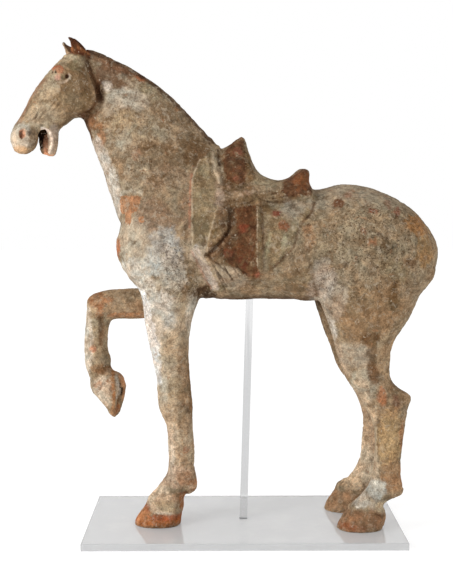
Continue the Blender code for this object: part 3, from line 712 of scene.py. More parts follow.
class Coat:
    """The coat as it is brushed on, with the places of the side view that it is drawn by."""

    def __init__(self, mesh):
        points = read(mesh)
        self.normals = read(mesh, "normal")
        self.x, self.z, self.out, self.head = side_view(points)
        hollow = ((neighbours_mean(mesh, points) - points) * self.normals).sum(axis=1) * 1000.0
        self.hollow = neighbours_mean(mesh, hollow[:, None], 2)[:, 0]
        self.left, self.right = (self.out <= 0) * 1.0, (self.out > 0) * 1.0
        self.trunk, self.skull = (self.head < 0.5) * 1.0, (self.head > 0.5) * 1.0
        wander = 3.4 * grain(points, 17.0, 2) + 1.6 * grain(points, 6.0, 2, 9.0)
        drift = 3.4 * grain(points, 17.0, 2, 41.0) + 1.6 * grain(points, 6.0, 2, 63.0)
        self.ragged = grain(points, 4.6, 2, 88.0)
        self.crumbs = smooth_step(grain(points, 5.0, 1, 46.0), 0.05, 0.4)
        self.exact = self.x, self.z
        self.unsteady = self.x + 0.3 * wander, self.z + 0.3 * drift
        self.wandering = self.x + wander, self.z + drift
        self.colour = np.tile(tone(BUFF_SLIP), (len(points), 1))

    def worn(self, weight, bite=0.5):
        """A patch whose border is eaten away in crumbs."""
        return smooth_step(weight + bite * self.ragged * (weight > 0), 0.22, 0.78)

    def lay(self, paint, weight):
        lay(self.colour, paint, weight)

    def daub(self, patches, at, where, soft=0.45, bite=0.5):
        """Lay a table's patches one after the other."""
        for place, reach, paint, strength, *tilt in patches:
            weight = self.worn(spot(*at, place, reach, soft, *tilt), bite)
            self.lay(paint, weight * strength * where)

    def lines(self, where, rows, bite=0.5, at=None):
        """Draw lines of the side view, their borders eaten away where bite is above 0."""
        for paint, places, half_width, edge, strength in rows:
            weight = stroke(*(at or self.unsteady), places, half_width, edge)
            self.lay(paint, (self.worn(weight, bite) if bite else weight) * strength * where)


# Neck, breast, body and rump: place, reach, finish, strength and, where it leans, tilt. The
# right side has the same patches, moved along a little and fainter.
FAR_SIDE_SHIFT = (16.0, -7.0)
FAR_SIDE_STRENGTH = 0.75
BODY_WEAR = [
    ((-110, 440), (75, 70), (154, 135, 111), 0.8),
    ((-120, 505), (40, 9), (108, 88, 66), 0.6, -22),
    ((-143, 497), (21, 14), (124, 92, 70), 0.8, -25),
    ((-136, 490), (7, 7), (110, 82, 60), 0.6),
    ((-106, 480), (15, 9), (150, 141, 116), 0.7, -30),
    ((-126, 472), (24, 11), (188, 177, 160), 0.85, -4),
    ((-125, 492), (14, 5), (176, 166, 146), 0.6, -30),
    ((-149, 487), (6.5, 4.5), (206, 190, 174), 0.95),
    ((-113, 497), (9, 3.5), (152, 94, 62), 0.8, -30),
    ((-72, 463), (4, 3), (166, 112, 76), 0.8),
    ((-128, 445), (16, 16), (168, 149, 120), 0.7),
    ((-130, 428), (7, 12), (184, 175, 156), 0.6),
    ((-100, 440), (16, 12), (148, 128, 102), 0.5),
    ((-86, 409), (32, 14), (130, 105, 78), 0.7, -20),
    ((-51, 416), (21, 14), (108, 82, 56), 0.85, -45),
    ((-116, 412), (6, 7), (146, 104, 80), 0.5),
    ((-104, 437), (20, 14), (168, 151, 126), 0.65),
    ((-84, 462), (26, 15), (134, 114, 90), 0.6, -38),
    ((-146, 465), (8, 9), (188, 172, 150), 0.75),
    ((-84, 388), (26, 12), (144, 118, 94), 0.6),
    ((-107, 394), (4, 3.5), (208, 184, 152), 0.85),
    ((-126, 396), (3, 4), PALE_SLIP, 0.7),
    ((-140, 400), (10, 12), (146, 121, 93), 0.6, -20),
    ((-165, 449), (7, 12), (122, 82, 54), 0.85, -20),
    ((-158, 443), (8, 6), (136, 96, 64), 0.9),
    ((-156, 427), (6, 10), (164, 122, 90), 0.95, -20),
    ((-112, 320), (27, 30), (190, 177, 157), 0.85),
    ((-94, 346), (24, 17), (134, 111, 91), 0.8, -35),
    ((-84, 308), (19, 24), (180, 175, 167), 0.85),
    ((-85, 290), (13, 9), (198, 193, 184), 0.7),
    ((-98, 298), (11, 17), (190, 187, 178), 0.75),
    ((-123, 288), (15, 12), (192, 186, 174), 0.8, -50),
    ((-80, 278), (16, 12), (170, 160, 142), 0.7),
    ((-139, 311), (4.5, 9), (180, 112, 76), 0.95),
    ((-119, 318), (2.6, 2), (90, 76, 58), 0.85),
    ((-62, 278), (9, 14), (132, 108, 80), 0.75),
    ((-64, 266), (6, 7), (96, 74, 52), 0.7),
    ((-76, 285), (15, 17), (196, 188, 174), 0.75),
    ((-118, 288), (16, 15), (200, 193, 180), 0.8),
    ((-58, 311), (6, 12), (162, 146, 124), 0.6),
    ((-60, 350), (9, 24), (146, 116, 92), 0.55),
    ((-30, 268), (24, 6), (150, 130, 106), 0.6),
    ((10, 270), (40, 9), (146, 124, 97), 0.75),
    ((57, 278), (19, 15), (130, 108, 81), 0.7),
    ((88, 330), (24, 30), (158, 137, 109), 0.75),
    ((66, 334), (6.5, 5.5), (158, 120, 88), 0.7),
    ((68, 320), (7, 11), (154, 120, 90), 0.6, -20),
    ((118, 368), (54, 15), (166, 151, 130), 0.85, -4),
    ((138, 330), (52, 36), (152, 135, 110), 0.7),
    ((120, 318), (22, 13), (130, 116, 94), 0.4),
    ((147, 311), (15, 13), (112, 97, 75), 0.5),
    ((158, 288), (18, 14), (140, 122, 92), 0.5),
    ((184, 335), (15, 11), (158, 116, 74), 0.9, -45),
    ((192, 308), (11, 17), (160, 126, 86), 0.85),
    ((173, 298), (7, 6), (92, 68, 46), 0.75),
    ((96, 276), (24, 16), (144, 127, 104), 0.75),
    ((80, 288), (11, 14), (166, 151, 134), 0.75, -10),
    ((72, 266), (5, 10), (96, 74, 52), 0.7, -10),
    ((86, 363), (13, 12), (162, 148, 126), 0.75),
    ((100, 360), (6, 4), (112, 76, 54), 0.95, 10),
    ((110, 369), (4, 4), (150, 106, 86), 0.6),
    ((133, 353), (2.6, 4), (146, 84, 64), 0.9),
    ((139, 353), (4, 3), (154, 98, 78), 0.6),
    ((161, 352), (3.5, 4.5), (138, 84, 64), 0.85),
    ((154, 361), (4, 5), (144, 100, 78), 0.6),
    ((125, 332), (4, 4), (128, 88, 68), 0.7),
    ((134, 319), (5, 3), (164, 112, 80), 0.75),
    ((142, 327), (2.2, 2.2), (56, 34, 24), 0.9),
    ((150, 317), (5, 6), (88, 76, 58), 0.8),
    ((158, 317), (3, 3.4), (76, 70, 58), 0.7),
    ((157, 266), (6, 15), (88, 66, 40), 0.9),
    ((150, 262), (14, 14), (128, 99, 68), 0.6),
]
NECK_FRONT = [(-160, 424), (-154, 408), (-146, 390), (-141, 371), (-139, 352)]
CREST = [(-174, 527.5), (-161, 524), (-151, 520), (-141, 515.5), (-131, 511), (-121, 505.5),
         (-100.6, 491), (-81.5, 476), (-61.5, 457.7), (-46, 440.3), (-36, 427)]
HIP_CREASE = [(69, 296), (72, 284), (75, 270), (78, 261)]
ABOVE_SQUARE = [(-134, 372), (-122, 373), (-109, 371)]
BARE_SQUARE = [(-134, 368), (-111, 367), (-114, 356), (-119, 350), (-134, 350)]
BARE_DRIPS = [((-125, 344), (4, 7)), ((-110, 343), (3.2, 3.4))]


def coat_body(coat):
    x, z, left, trunk = coat.x, coat.z, coat.left, coat.trunk
    wx, wz = coat.wandering
    far_side = wx + FAR_SIDE_SHIFT[0], wz + FAR_SIDE_SHIFT[1]
    coat.daub(BODY_WEAR, coat.wandering, left * trunk, soft=0.5)
    coat.daub(BODY_WEAR, far_side, FAR_SIDE_STRENGTH * coat.right * trunk, soft=0.5)
    front = (coat.head < 0.5) * (z < 432) * (z > 340)
    # White slip down the front of the neck, partly a painted highlight from the light at the left.
    coat.lines(front, [(WHITE_SLIP_AND_HIGHLIGHT, NECK_FRONT, 7.0, 9.0, 0.7)], at=coat.wandering)
    coat.lines(left, [(PALE_SLIP, ABOVE_SQUARE, 1.6, 2.0, 0.8)])
    # Painted shade: the underside of the belly is darkened, and so is the place behind the foreleg
    # where the girth meets it.
    belly_shade = smooth_step(-z, -263, -256) * (z > 235) * (x > -48) * (x < 92)
    coat.lay((84, 62, 42), belly_shade * 0.85)
    coat.lay((66, 46, 30), coat.worn(spot(wx, wz, (-42, 262), (13, 9))) * 0.9 * (z > 250))


# Saddle and cloths, alike on both sides, each patch written as above
OUTER_CLOTH = [(-47, 407), (-34, 417), (-31, 397), (-27, 378), (-29, 356), (-37, 331), (-40, 307),
               (-40, 296), (-50, 307), (-55, 316), (-56, 364), (-55, 389)]
INNER_CLOTH = [(-30, 416), (-26, 388), (-27, 362), (-37, 326), (-41, 306), (-22, 294), (0, 280),
               (14, 280), (18, 290), (18, 362), (-4, 392)]
REAR_CLOTH = [(20, 360), (40, 366), (78, 370), (70, 350), (55, 328), (50, 314), (36, 298),
              (24, 289)]
CLOTH_WEAR = [
    ((-45, 372), (11, 26), (146, 129, 100), 0.6),
    ((-49, 308), (7, 12), (188, 174, 154), 0.8, -30),
    ((43, 350), (20, 16), (160, 146, 122), 0.6, 10),
    ((-40, 398), (9, 12), (146, 130, 102), 0.6),
    ((-46, 334), (9, 18), (124, 105, 76), 0.6),
    ((-26, 390), (4, 12), (164, 146, 122), 0.8),
    ((-28, 380), (4, 7), (170, 148, 124), 0.85),
    ((-26, 366), (5, 9), (174, 152, 134), 0.85),
    ((-22, 357), (6, 8), (158, 138, 118), 0.6),
    ((-21, 344), (7, 15), (108, 84, 60), 0.85),
    ((-27, 332), (8, 16), (112, 88, 60), 0.75, -20),
    ((-31, 330), (4, 5), (120, 98, 66), 0.6),
    ((-10, 366), (12, 7), (142, 116, 90), 0.8),
    ((5, 366), (9, 8), (134, 112, 84), 0.7),
    ((-10, 360), (10, 6), (110, 84, 58), 0.75),
    ((-16, 334), (11, 26), (78, 54, 37), 0.85, 12),
    ((-12, 336), (4.5, 8), (94, 76, 60), 0.75),
    ((-20, 315), (8, 13), (92, 68, 48), 0.85, -25),
    ((-31, 302), (8, 6), (124, 98, 72), 0.6, -45),
    ((-16, 281), (20, 12), (172, 154, 132), 0.8, -20),
    ((-30, 270), (9, 6), (110, 96, 68), 0.6),
    ((34, 322), (10, 30), (138, 119, 91), 0.7),
    ((24, 316), (3, 13), (170, 162, 131), 0.7, -8),
    ((41, 320), (3, 8), (168, 160, 130), 0.65, -10),
    ((52, 354), (14, 9), (170, 158, 140), 0.8, 20),
    ((46, 362), (5, 3), (184, 176, 164), 0.6, 10),
    ((24, 354), (7, 6), (106, 86, 58), 0.75),
    ((44, 364.5), (14, 3.5), (112, 86, 60), 0.75, 12),
    ((72, 359), (8, 6), (182, 170, 150), 0.75),
    ((22, 384), (15, 7), (154, 142, 116), 0.75, -10),
    ((29, 367), (17, 6), (128, 106, 78), 0.65, 8),
    ((33.5, 349.8), (5, 3.2), (122, 70, 56), 0.95),
    ((41.2, 336.3), (6, 5), (132, 86, 62), 0.95),
    ((3.5, 402), (4.2, 16), (112, 86, 56), 0.9, 10),
    ((6, 391), (5, 8), (104, 80, 54), 0.8, 30),
]
UNDER_CANTLE = [(28, 372), (43, 367.5), (57, 371), (68, 369)]
BOW_LEATHER = [(-20.6, 417.5), (-22.4, 401.4), (-17.5, 385), (-8.8, 380.9), (-0.5, 381.5),
               (1.8, 390), (1.0, 404), (0.4, 418), (-0.6, 434), (-10, 432), (-17, 426)]
CANTLE_LEATHER = [(40, 373), (44, 385), (56, 391), (63, 398), (70, 398), (72, 386), (72, 370),
                  (59, 369.5), (46, 367)]
FLAP_LEATHER = [(-12, 355), (-0.6, 356), (11, 356), (11.8, 337.3), (11, 316.9), (11.5, 298.5),
                (15, 282), (5.6, 283), (-2.2, 286.5), (-7.4, 294.5), (-13, 305), (-9, 320),
                (-8, 340)]
LOW_LEATHER = [(-24, 313), (-12, 314), (-7, 297), (-11, 291), (-20, 301)]
RED_TRACES = [
    ((-7.4, 416), (5.0, 6.5), (134, 78, 58), 0.85),
    ((-11, 400), (3.0, 10), (96, 60, 40), 0.6),
    ((-8.6, 386), (3.4, 3.4), (138, 82, 62), 0.8),
    ((-1.5, 334.3), (5.5, 5.0), (126, 64, 44), 0.85),
    ((-0.5, 347), (7, 6), (86, 52, 32), 0.7),
    ((-2.9, 298), (6, 8), (96, 50, 34), 0.8),
    ((-17.7, 308), (5.0, 4.2), (130, 78, 58), 0.8),
    ((14.1, 284), (4.0, 4.6), (146, 88, 68), 0.9),
    ((7.5, 296), (3.0, 3.4), (160, 136, 108), 0.7),
    ((7, 322), (4, 12), (122, 82, 58), 0.55),
    ((62, 384), (11, 10), (130, 76, 42), 0.85),
    ((47, 376), (7, 4), (96, 60, 38), 0.75, 20),
]


def coat_saddle(coat):
    for outline, paint in (
        (OUTER_CLOTH, (146, 129, 102)),
        (INNER_CLOTH, (112, 88, 63)),
        (REAR_CLOTH, (140, 122, 94)),
    ):
        depth = inside(*coat.unsteady, outline) + 1.6 * coat.ragged
        coat.lay(paint, smooth_step(depth, -1.5, 1.5) * 0.9 * coat.trunk)
    coat.daub(CLOTH_WEAR, coat.unsteady, coat.trunk)
    saddlery = coat.trunk * (coat.z > 255)
    coat.lines(saddlery, [
        ((190, 178, 166), GIRTH, 4.0, 4.0, 0.85),
        ((192, 156, 136), moved(GIRTH, -4.5, -1.5), 1.0, 2.0, 0.7),
        ((200, 182, 156), FRONT_STRAP, 2.0, 3.0, 0.8),
        ((180, 156, 124), STRAP_END, 0.8, 2.0, 0.6),
        # Painted shade under the cantle's edge
        ((96, 70, 48), UNDER_CANTLE, 1.6, 3.0, 0.7),
    ])
    coat.lines(saddlery, [
        ((140, 122, 90), SEAM_STRIP, 1.3, 2.0, 0.6),
        ((104, 74, 52), moved(FLAP_CREASE, 2.5, -2.5), 2.4, 5.0, 0.6),
    ], bite=0)
    crumbs = coat.crumbs * spot(*coat.unsteady, CRUMBS_ON_SEAT, (19, 9), 0.4)
    coat.lay((184, 156, 134), crumbs * 0.8 * saddlery)


# Legs and hooves: the left ones, then the raised right foreleg and the right hind leg
LEFT_LEGS = [
    ((-84, 190), (44, 78), (196, 177, 152), 0.9),
    ((-88, 245), (18, 22), (206, 198, 186), 0.85),
    ((-70, 250), (8, 16), (160, 140, 112), 0.6),
    ((-77, 150), (20, 15), (164, 141, 114), 0.8),
    ((-74, 200), (14, 22), (176, 152, 122), 0.6),
    ((-68, 186), (3.5, 7), (128, 100, 76), 0.5),
    ((-63, 136), (8, 6), (104, 74, 50), 0.85),
    ((-73, 100), (24, 30), (206, 181, 153), 0.85),
    ((-66, 82), (8, 14), (156, 128, 98), 0.6),
    # Pale down the front of the left foreleg, in these four rows: slip, partly painted highlight.
    ((-107, 268), (12, 16), (208, 200, 186), 0.9, -20),
    ((-95, 222), (8, 24), (208, 196, 178), 0.8, -10),
    ((-90, 158), (7, 20), (198, 186, 166), 0.85),
    ((-82, 80), (6, 30), (216, 196, 174), 0.85),
    ((-66, 166), (9, 24), (138, 112, 84), 0.7),
    ((-76, 160), (9, 13), (150, 128, 100), 0.65),
    ((-72, 128), (8, 12), (150, 126, 98), 0.6),
    ((-96, 45), (10, 8), (208, 184, 158), 0.85),
    ((-67, 112), (6, 22), (150, 124, 94), 0.6),
    ((-65, 196), (7, 16), (158, 132, 104), 0.6),
    # Pale on the forearm's back edge: painted light that lifts its shade.
    ((-57, 236), (6, 26), (200, 190, 174), 0.8),
    ((-58, 90), (5, 34), (184, 160, 132), 0.75),
    ((-64, 88), (4, 4), (152, 92, 62), 0.6),
    ((-78, 58), (24, 13), (188, 160, 136), 0.8),
    ((-66, 56), (10, 8), (150, 114, 86), 0.75),
    ((-56, 47), (6, 6), (178, 118, 78), 0.85),
    ((-58, 45.5), (6, 1.8), (206, 190, 170), 0.7),
    ((-93, 30), (24, 13), (220, 194, 166), 0.95, -18),
    ((-84, 24), (16, 6), (180, 156, 122), 0.7, -10),
    ((-95, 5), (36, 8), (170, 98, 50), 0.95),
    ((-112, 14), (9, 9), (194, 128, 84), 0.9, 40),
    ((-108, 21), (4, 4), (140, 78, 54), 0.7),
    ((-86, 12), (20, 4), (170, 92, 62), 0.7),
    ((-71, 32), (8, 9), (148, 112, 82), 0.75),
    ((-67, 26), (6, 10), (168, 108, 66), 0.85),
    ((-88, 17), (11, 1.4), (214, 200, 180), 0.75),
    ((-92, 0), (34, 2.6), (116, 74, 44), 0.85),
    ((113, 274), (42, 18), (146, 129, 105), 0.7),
    ((83, 272), (13, 22), (172, 157, 142), 0.85, -20),
    ((132, 242), (40, 32), (146, 119, 89), 0.85),
    ((96, 250), (10, 26), (176, 158, 138), 0.8, -20),
    ((93, 224), (6, 15), (216, 202, 186), 0.95, 14),
    ((118, 197), (22, 13), (176, 162, 142), 0.9, -5),
    ((131, 167), (15, 15), (176, 166, 146), 0.9, -30),
    ((158, 260), (6, 14), (90, 68, 42), 0.75),
    ((127, 150), (11, 22), (200, 181, 156), 0.85),
    ((154, 198), (10, 30), (164, 139, 109), 0.8),
    ((135, 215), (10, 8), (92, 66, 42), 0.95, 10),
    ((137, 200), (5, 20), (122, 96, 68), 0.7),
    ((139, 178), (6, 14), (104, 74, 48), 0.9, 8),
    ((102, 190), (3, 6), (126, 72, 50), 0.85, -20),
    ((168, 156), (11, 14), (128, 105, 79), 0.85, 20),
    ((150, 151), (5, 11), (166, 110, 76), 0.9, 10),
    ((165, 142), (4, 9), (112, 82, 66), 0.85),
    ((134, 108), (11, 34), (206, 182, 152), 0.9),
    ((160, 104), (15, 34), (178, 145, 104), 0.9),
    ((173, 106), (3, 18), (160, 106, 72), 0.7),
    ((164, 60), (15, 18), (162, 124, 90), 0.85),
    ((139, 68), (9, 22), (208, 184, 156), 0.9),
    ((147, 29), (11, 6), (190, 176, 157), 0.9),
    ((130, 11), (34, 13), (142, 106, 78), 0.95),
    ((118, 4), (14, 5), (150, 92, 62), 0.75),
    ((152, 27), (9, 6), (206, 182, 148), 0.85),
    ((145, 47), (11, 10), (198, 195, 184), 0.9),
    ((129, 34), (10, 8), (202, 190, 174), 0.9, 30),
    ((87, 272), (7, 16), (190, 176, 160), 0.7, -10),
]
FORE_FRONT_EDGE = [(-114, 262), (-109, 246), (-105, 225), (-100, 198), (-98, 168)]
FORE_BACK_EDGE = [(-58, 195), (-58, 170), (-57, 140), (-57, 126)]
FETLOCK_LINE = [(-72, 39), (-64, 39.5), (-55, 41.5)]
HEEL_SPLIT = [(141, 22), (147, 18.5), (152, 16.8), (157, 16.5)]
HIND_FRONT_EDGE = [(80, 256), (90, 226), (101, 198), (112, 176)]
RIGHT_LEGS = [
    ((-140, 244), (44, 22), (168, 144, 116), 0.9),
    ((-128, 231), (28, 3.5), (170, 122, 86), 0.85),
    ((-155, 249), (7, 4), (160, 112, 78), 0.8),
    ((-118, 240), (4, 12), (162, 122, 88), 0.5, 20),
    ((-172, 205), (18, 38), (176, 158, 130), 0.9),
    # Pale down the front edge of the raised foreleg: slip, partly painted highlight.
    ((-181.5, 202), (9, 44), (208, 199, 184), 0.9),
    ((-168, 249), (11, 9), (142, 96, 64), 0.95),
    ((-181, 254), (6, 6), (196, 146, 104), 0.7),
    ((-164, 236), (4, 9), (160, 106, 70), 0.85),
    ((-173, 193), (4.5, 4.5), (188, 136, 108), 0.9),
    ((-163, 168), (14, 6), (134, 96, 64), 0.85, -10),
    ((-163, 144), (13, 16), (204, 184, 162), 0.9),
    ((-153.5, 146), (2.0, 2.0), (104, 94, 84), 0.8),
    ((-168, 151), (6, 3), (176, 120, 84), 0.6, 20),
    ((-149, 119), (5, 6), (170, 114, 74), 0.9),
    ((-159, 132), (7, 8), (206, 188, 166), 0.8, -40),
    ((-152, 164), (8, 4), (182, 152, 124), 0.8),
    ((148, 90), (30, 60), (200, 173, 144), 0.85),
    # Pale at the far hind fetlock: painted light that lifts its shade.
    ((134, 56), (20, 28), (226, 204, 176), 0.95),
    ((128, 210), (44, 60), (150, 126, 98), 0.8),
    ((114, 10), (34, 14), (168, 134, 103), 0.95),
    ((130, 34), (13, 8), (218, 192, 160), 0.9),
    ((104, 14), (8, 10), (164, 122, 88), 0.6, 30),
]
HOOF_SCORE = [(-170, 141), (-160, 151), (-153, 160)]
RAISED_RIM = [(-150.5, 164), (-149.5, 150), (-148.5, 138), (-149.5, 124)]
SOLE_HIGHLIGHT = [(-146.6, 160), (-145.0, 152), (-144.2, 144), (-144.9, 136)]
SOLE_EDGE = [(-142, 160), (-139.0, 152), (-138.0, 144), (-139.6, 128)]


def coat_legs(coat):
    x, z = coat.exact
    fz = coat.unsteady[1]
    low = (z < 292) * coat.trunk
    coat.daub(LEFT_LEGS, coat.unsteady, coat.left * low, bite=0.4)
    # The pale front edges of the left legs are chalky slip and partly painted highlight from the
    # light at the left; the brown back edge of the foreleg is partly painted shade.
    coat.lines(coat.left * low, [
        (CHALK_AND_HIGHLIGHT, FORE_FRONT_EDGE, 8.0, 8.0, 0.8),
        ((140, 110, 80), FORE_BACK_EDGE, 4.0, 6.0, 0.8),
        ((186, 168, 146), HIND_FRONT_EDGE, 4.5, 4.0, 0.7),
        ((120, 66, 44), FETLOCK_LINE, 1.0, 2.0, 0.8),
    ])
    # Painted shade in the crease between the belly and the thigh.
    hip = coat.left * coat.trunk
    coat.lines(hip, [((100, 78, 56), HIP_CREASE, 1.8, 4.0, 0.75)], bite=0)
    heel = coat.left * low
    coat.lines(heel, [((64, 42, 27), HEEL_SPLIT, 0.5, 1.3, 0.85)], bite=0, at=(x, fz))

    coat.daub(RIGHT_LEGS, coat.unsteady, coat.right * low, bite=0.4)
    raised = coat.right * (x < -120) * (z < 262)
    coat.lines(raised, [((124, 94, 66), RAISED_TENDON, 3.0, 2.8, 0.8)], bite=0)
    coat.lines(raised, [((146, 100, 70), HOOF_SCORE, 0.6, 1.2, 0.8)], bite=0, at=coat.exact)
    coat.lines(raised, [((168, 112, 68), RAISED_RIM, 1.8, 1.4, 0.9)], bite=0, at=(x, fz))
    coat.lines(raised, [((198, 144, 104), SOLE_EDGE, 2.6, 1.8, 0.9)], bite=0, at=coat.exact)
    # In the raised sole's hollow: a painted highlight on its inner wall and a painted shadow in its
    # slit.
    highlight_side = raised * (x < -142.6)
    coat.lines(highlight_side, [((216, 206, 192), SOLE_HIGHLIGHT, 1.4, 1.0, 0.95)], bite=0, at=coat.exact)
    coat.lines(raised, [((34, 20, 12), SOLE_SLIT, 0.9, 1.2, 0.9)], bite=0, at=coat.exact)


# Head and ears, alike on both sides, with wear and, in a few patches, painted shade: at the cheek's
# back edge, under the upper lip and beside the nostril. Small patches keep a crisp border.
SMALL_PATCH = 6
HEAD_WEAR_AND_SHADE = [
    ((-206, 474), (52, 48), (157, 137, 110), 0.9),
    ((-190, 481), (21, 25), (121, 97, 70), 0.85),
    ((-212, 468), (10, 10), (146, 125, 96), 0.5),
    ((-218, 483), (9, 14), (182, 163, 136), 0.8, -38),
    ((-189, 506), (8, 7), (112, 108, 84), 0.6),
    # Painted shade: the cheek darkened towards the jaw's back edge, in these three rows
    ((-178, 467), (10, 15), (106, 86, 59), 0.75),
    ((-184, 496), (8, 14), (108, 90, 68), 0.5),
    ((-177, 492), (6, 18), (98, 74, 50), 0.5, 10),
    ((-197, 466), (12, 7), (150, 128, 100), 0.5, -20),
    ((-213, 495), (9, 6), (178, 160, 132), 0.5, -38),
    ((-199, 515), (6, 4), (166, 152, 128), 0.6, -20),
    ((-193.5, 517.5), (5, 2.8), (198, 184, 156), 0.85, -10),
    ((-186, 519), (5, 2.5), (150, 128, 96), 0.7, -30),
    ((-226, 453), (17, 13), (186, 168, 142), 0.85, 20),
    ((-246, 428), (13, 16), (208, 198, 182), 0.9),
    # Painted shade under and behind the upper lip, in these two rows
    ((-235, 428), (5.5, 14), (104, 83, 61), 0.9, 10),
    ((-239, 416), (10, 4.5), (94, 74, 50), 0.9, 10),
    ((-246, 460), (6, 5), (150, 110, 90), 0.5),
    ((-212, 427), (8, 18), (162, 148, 136), 0.85),
    ((-249, 416), (8, 5), (204, 168, 130), 0.85),
    # Painted shade beside the nostril
    ((-240.5, 434.5), (2.6, 2.6), (104, 92, 82), 0.85),
    ((-247, 434), (3.4, 5.6), (198, 144, 116), 0.95, -15),
    ((-249.2, 431.8), (1.5, 2.8), (136, 78, 52), 0.95, -10),
    ((-208.2, 502.6), (4.4, 5.4), (176, 106, 74), 0.95),
    ((-209.6, 493.8), (3.4, 3.4), (192, 146, 128), 0.85),
    ((-204.8, 495.3), (3.2, 3.4), (118, 108, 84), 0.85),
    ((-200, 495.2), (2.5, 2.2), (70, 40, 28), 0.95, 40),
    ((-212.6, 499.2), (1.6, 1.6), (44, 25, 16), 0.95),
    ((-197, 506), (3, 3.4), (98, 90, 66), 0.6),
]
THROAT_EDGE = [(-182, 456), (-175.5, 452), (-171.5, 444), (-169, 437), (-166.5, 430)]
UNDER_JAW = [(-206, 443.5), (-200, 447), (-194, 449.5), (-186, 452.5)]
NOSE_LINE = [(-222, 493), (-230, 482), (-241, 464), (-249, 447)]
EAR_BAND = [(-186, 527), (-180, 523.5), (-173, 521.5)]
EAR_SHADOW = [(-187, 523), (-181, 520.5), (-174, 518.5)]
EAR_FRONT_EDGE = [(-194, 532), (-191.5, 526), (-189, 520.5)]
EAR_BACK_EDGE = [(-188.5, 536), (-183, 529), (-176, 525)]


def coat_head(coat):
    x, z, out, skull, exact = coat.x, coat.z, coat.out, coat.skull, coat.exact
    fx, fz = coat.unsteady
    coat.lay(BUFF_SLIP, skull)
    for patch in HEAD_WEAR_AND_SHADE:
        if min(patch[1]) < SMALL_PATCH:
            coat.daub([patch], exact, skull, soft=0.4, bite=0.12)
        else:
            coat.daub([patch], coat.unsteady, skull, bite=0.35)
    coat.lines(skull, [((150, 108, 82), NOSE_LINE, 2.2, 4.0, 0.6)])
    mane = ((112, 80, 60), moved(CREST[:6], -3.0, -6.5), 4.0, 6.0, 0.65)
    coat.lines(x > -176, [mane], bite=0.3)
    # A dark line along the top of the crest: painted shade at the neck's upper edge.
    crest_shade = stroke(fx, fz, CREST, 3.0 + 1.6 * smooth_step(-x, 110, 140), 4.0) * (x > -176)
    coat.lay((70, 46, 33), coat.worn(crest_shade, 0.25) * np.clip(0.6 - x / 300.0, 0, 0.95))

    # Shadow and earth in the throat, behind and under the jaw
    throat = (z > 400) * (x < -140)
    under_cheek = ((88, 56, 34), moved(JAW_LINE, -0.5, 0), 3.4, 6.0, 0.85)
    coat.lines(throat, [under_cheek], bite=0, at=exact)
    for paint, place, reach, soft, tilt, strength in (
        ((80, 48, 27), (-158.0, 483), (6.2, 15.0), 0.4, 14, 0.85),
        ((44, 22, 10), (-156.4, 477), (5.4, 11.0), 0.5, 12, 0.95),
        ((66, 42, 26), (-174, 450), (5.0, 8.0), 0.5, -25, 0.85),
    ):
        coat.lay(paint, spot(x, z, place, reach, soft, tilt) * strength * throat)
    coat.lines(throat, [((92, 70, 46), UNDER_JAW, 1.6, 2.6, 0.7)], bite=0, at=exact)
    coat.lines(throat, [((78, 48, 29), THROAT_EDGE, 1.8, 3.4, 0.85)], bite=0, at=(fx, z))
    coat.lines(skull, [((206, 188, 168), LOWER_LID, 0.9, 1.4, 0.8)], bite=0, at=exact)

    # The open mouth: its inside painted near black as painted shade, with the tongue and the pale
    # rim of the lips painted brighter to lift the shade they sit in
    turned = coat.normals[:, 1] * math.cos(HEAD_TURN) - coat.normals[:, 0] * math.sin(HEAD_TURN)
    gape = (x > -232) * (x < -212) * (z < 447) * (z > 405) * skull
    gape *= (out > -9.7) * (out < 17) * ((out < 6) | (turned < 0.3))
    coat.lay((22, 6, 5), gape)
    taper = 0.25 * np.maximum(z - 425, 0)
    tongue = gape * smooth_step(x + 0.4 * coat.ragged - taper, -221.0, -219.8) * (z < 435)
    coat.lay((240, 178, 140), tongue * 0.95)
    near_lip = (out < -9.7) * skull
    coat.lines(near_lip, [((252, 236, 222), LIP_RIM, 1.5, 1.4, 0.97)], bite=0, at=exact)


def coat_ears(coat):
    """Paint the ears and give back where they are."""
    x, z, out, skull = coat.x, coat.z, coat.out, coat.skull
    base = z + 0.5 * coat.ragged + 0.25 * (x + 180)
    ears = smooth_step(base, 516, 519) * (x > -206) * (x < -171) * skull
    near_ear, far_ear = ears * (out < -3), ears * (out > 3)
    coat.lay((92, 48, 25), near_ear * 0.97)
    ear_shadow = ((84, 44, 28), EAR_SHADOW, 1.6, 2.2, 0.85)
    coat.lines(near_ear, [((158, 104, 64), EAR_BAND, 1.2, 1.8, 0.8)], bite=0, at=coat.exact)
    coat.lines(skull * (out < -3), [ear_shadow], bite=0, at=coat.exact)
    coat.lines(near_ear, [
        ((178, 118, 78), EAR_FRONT_EDGE, 0.9, 1.6, 0.8),
        ((54, 28, 16), EAR_BACK_EDGE, 1.5, 2.0, 0.85),
    ], bite=0, at=coat.exact)
    coat.lay((62, 32, 18), smooth_step(z, 529, 535) * near_ear * 0.9)
    coat.lay((176, 148, 120), far_ear * 0.9)
    coat.lay((66, 36, 20), smooth_step(z + 1.7 * x, 199.3, 201.8) * far_ear * 0.9)
    return ears


def brushed_coat(mesh):
    """The worn coat's colour at each corner of the skin."""
    coat = Coat(mesh)
    coat_body(coat)
    coat_saddle(coat)
    coat_legs(coat)
    coat_head(coat)
    ears = coat_ears(coat)

    # Earth in the hollows and pale ridges, rubbed and with a painted highlight, less so at the
    # saddle's two crisp edges
    edged = 1 - 0.7 * spot(*coat.exact, (-14, 350), (9, 12), 0.3) * coat.trunk
    edged *= 1 - 0.6 * spot(*coat.exact, (75, 362), (9, 12), 0.3) * coat.trunk
    coat.lay(DARK_EARTH, smooth_step(coat.hollow, 0.03, 0.16) * 0.55 * edged)
    coat.lay((190, 164, 132), smooth_step(-coat.hollow, 0.05, 0.2) * 0.35 * (1 - 0.9 * ears))
    return coat.colour


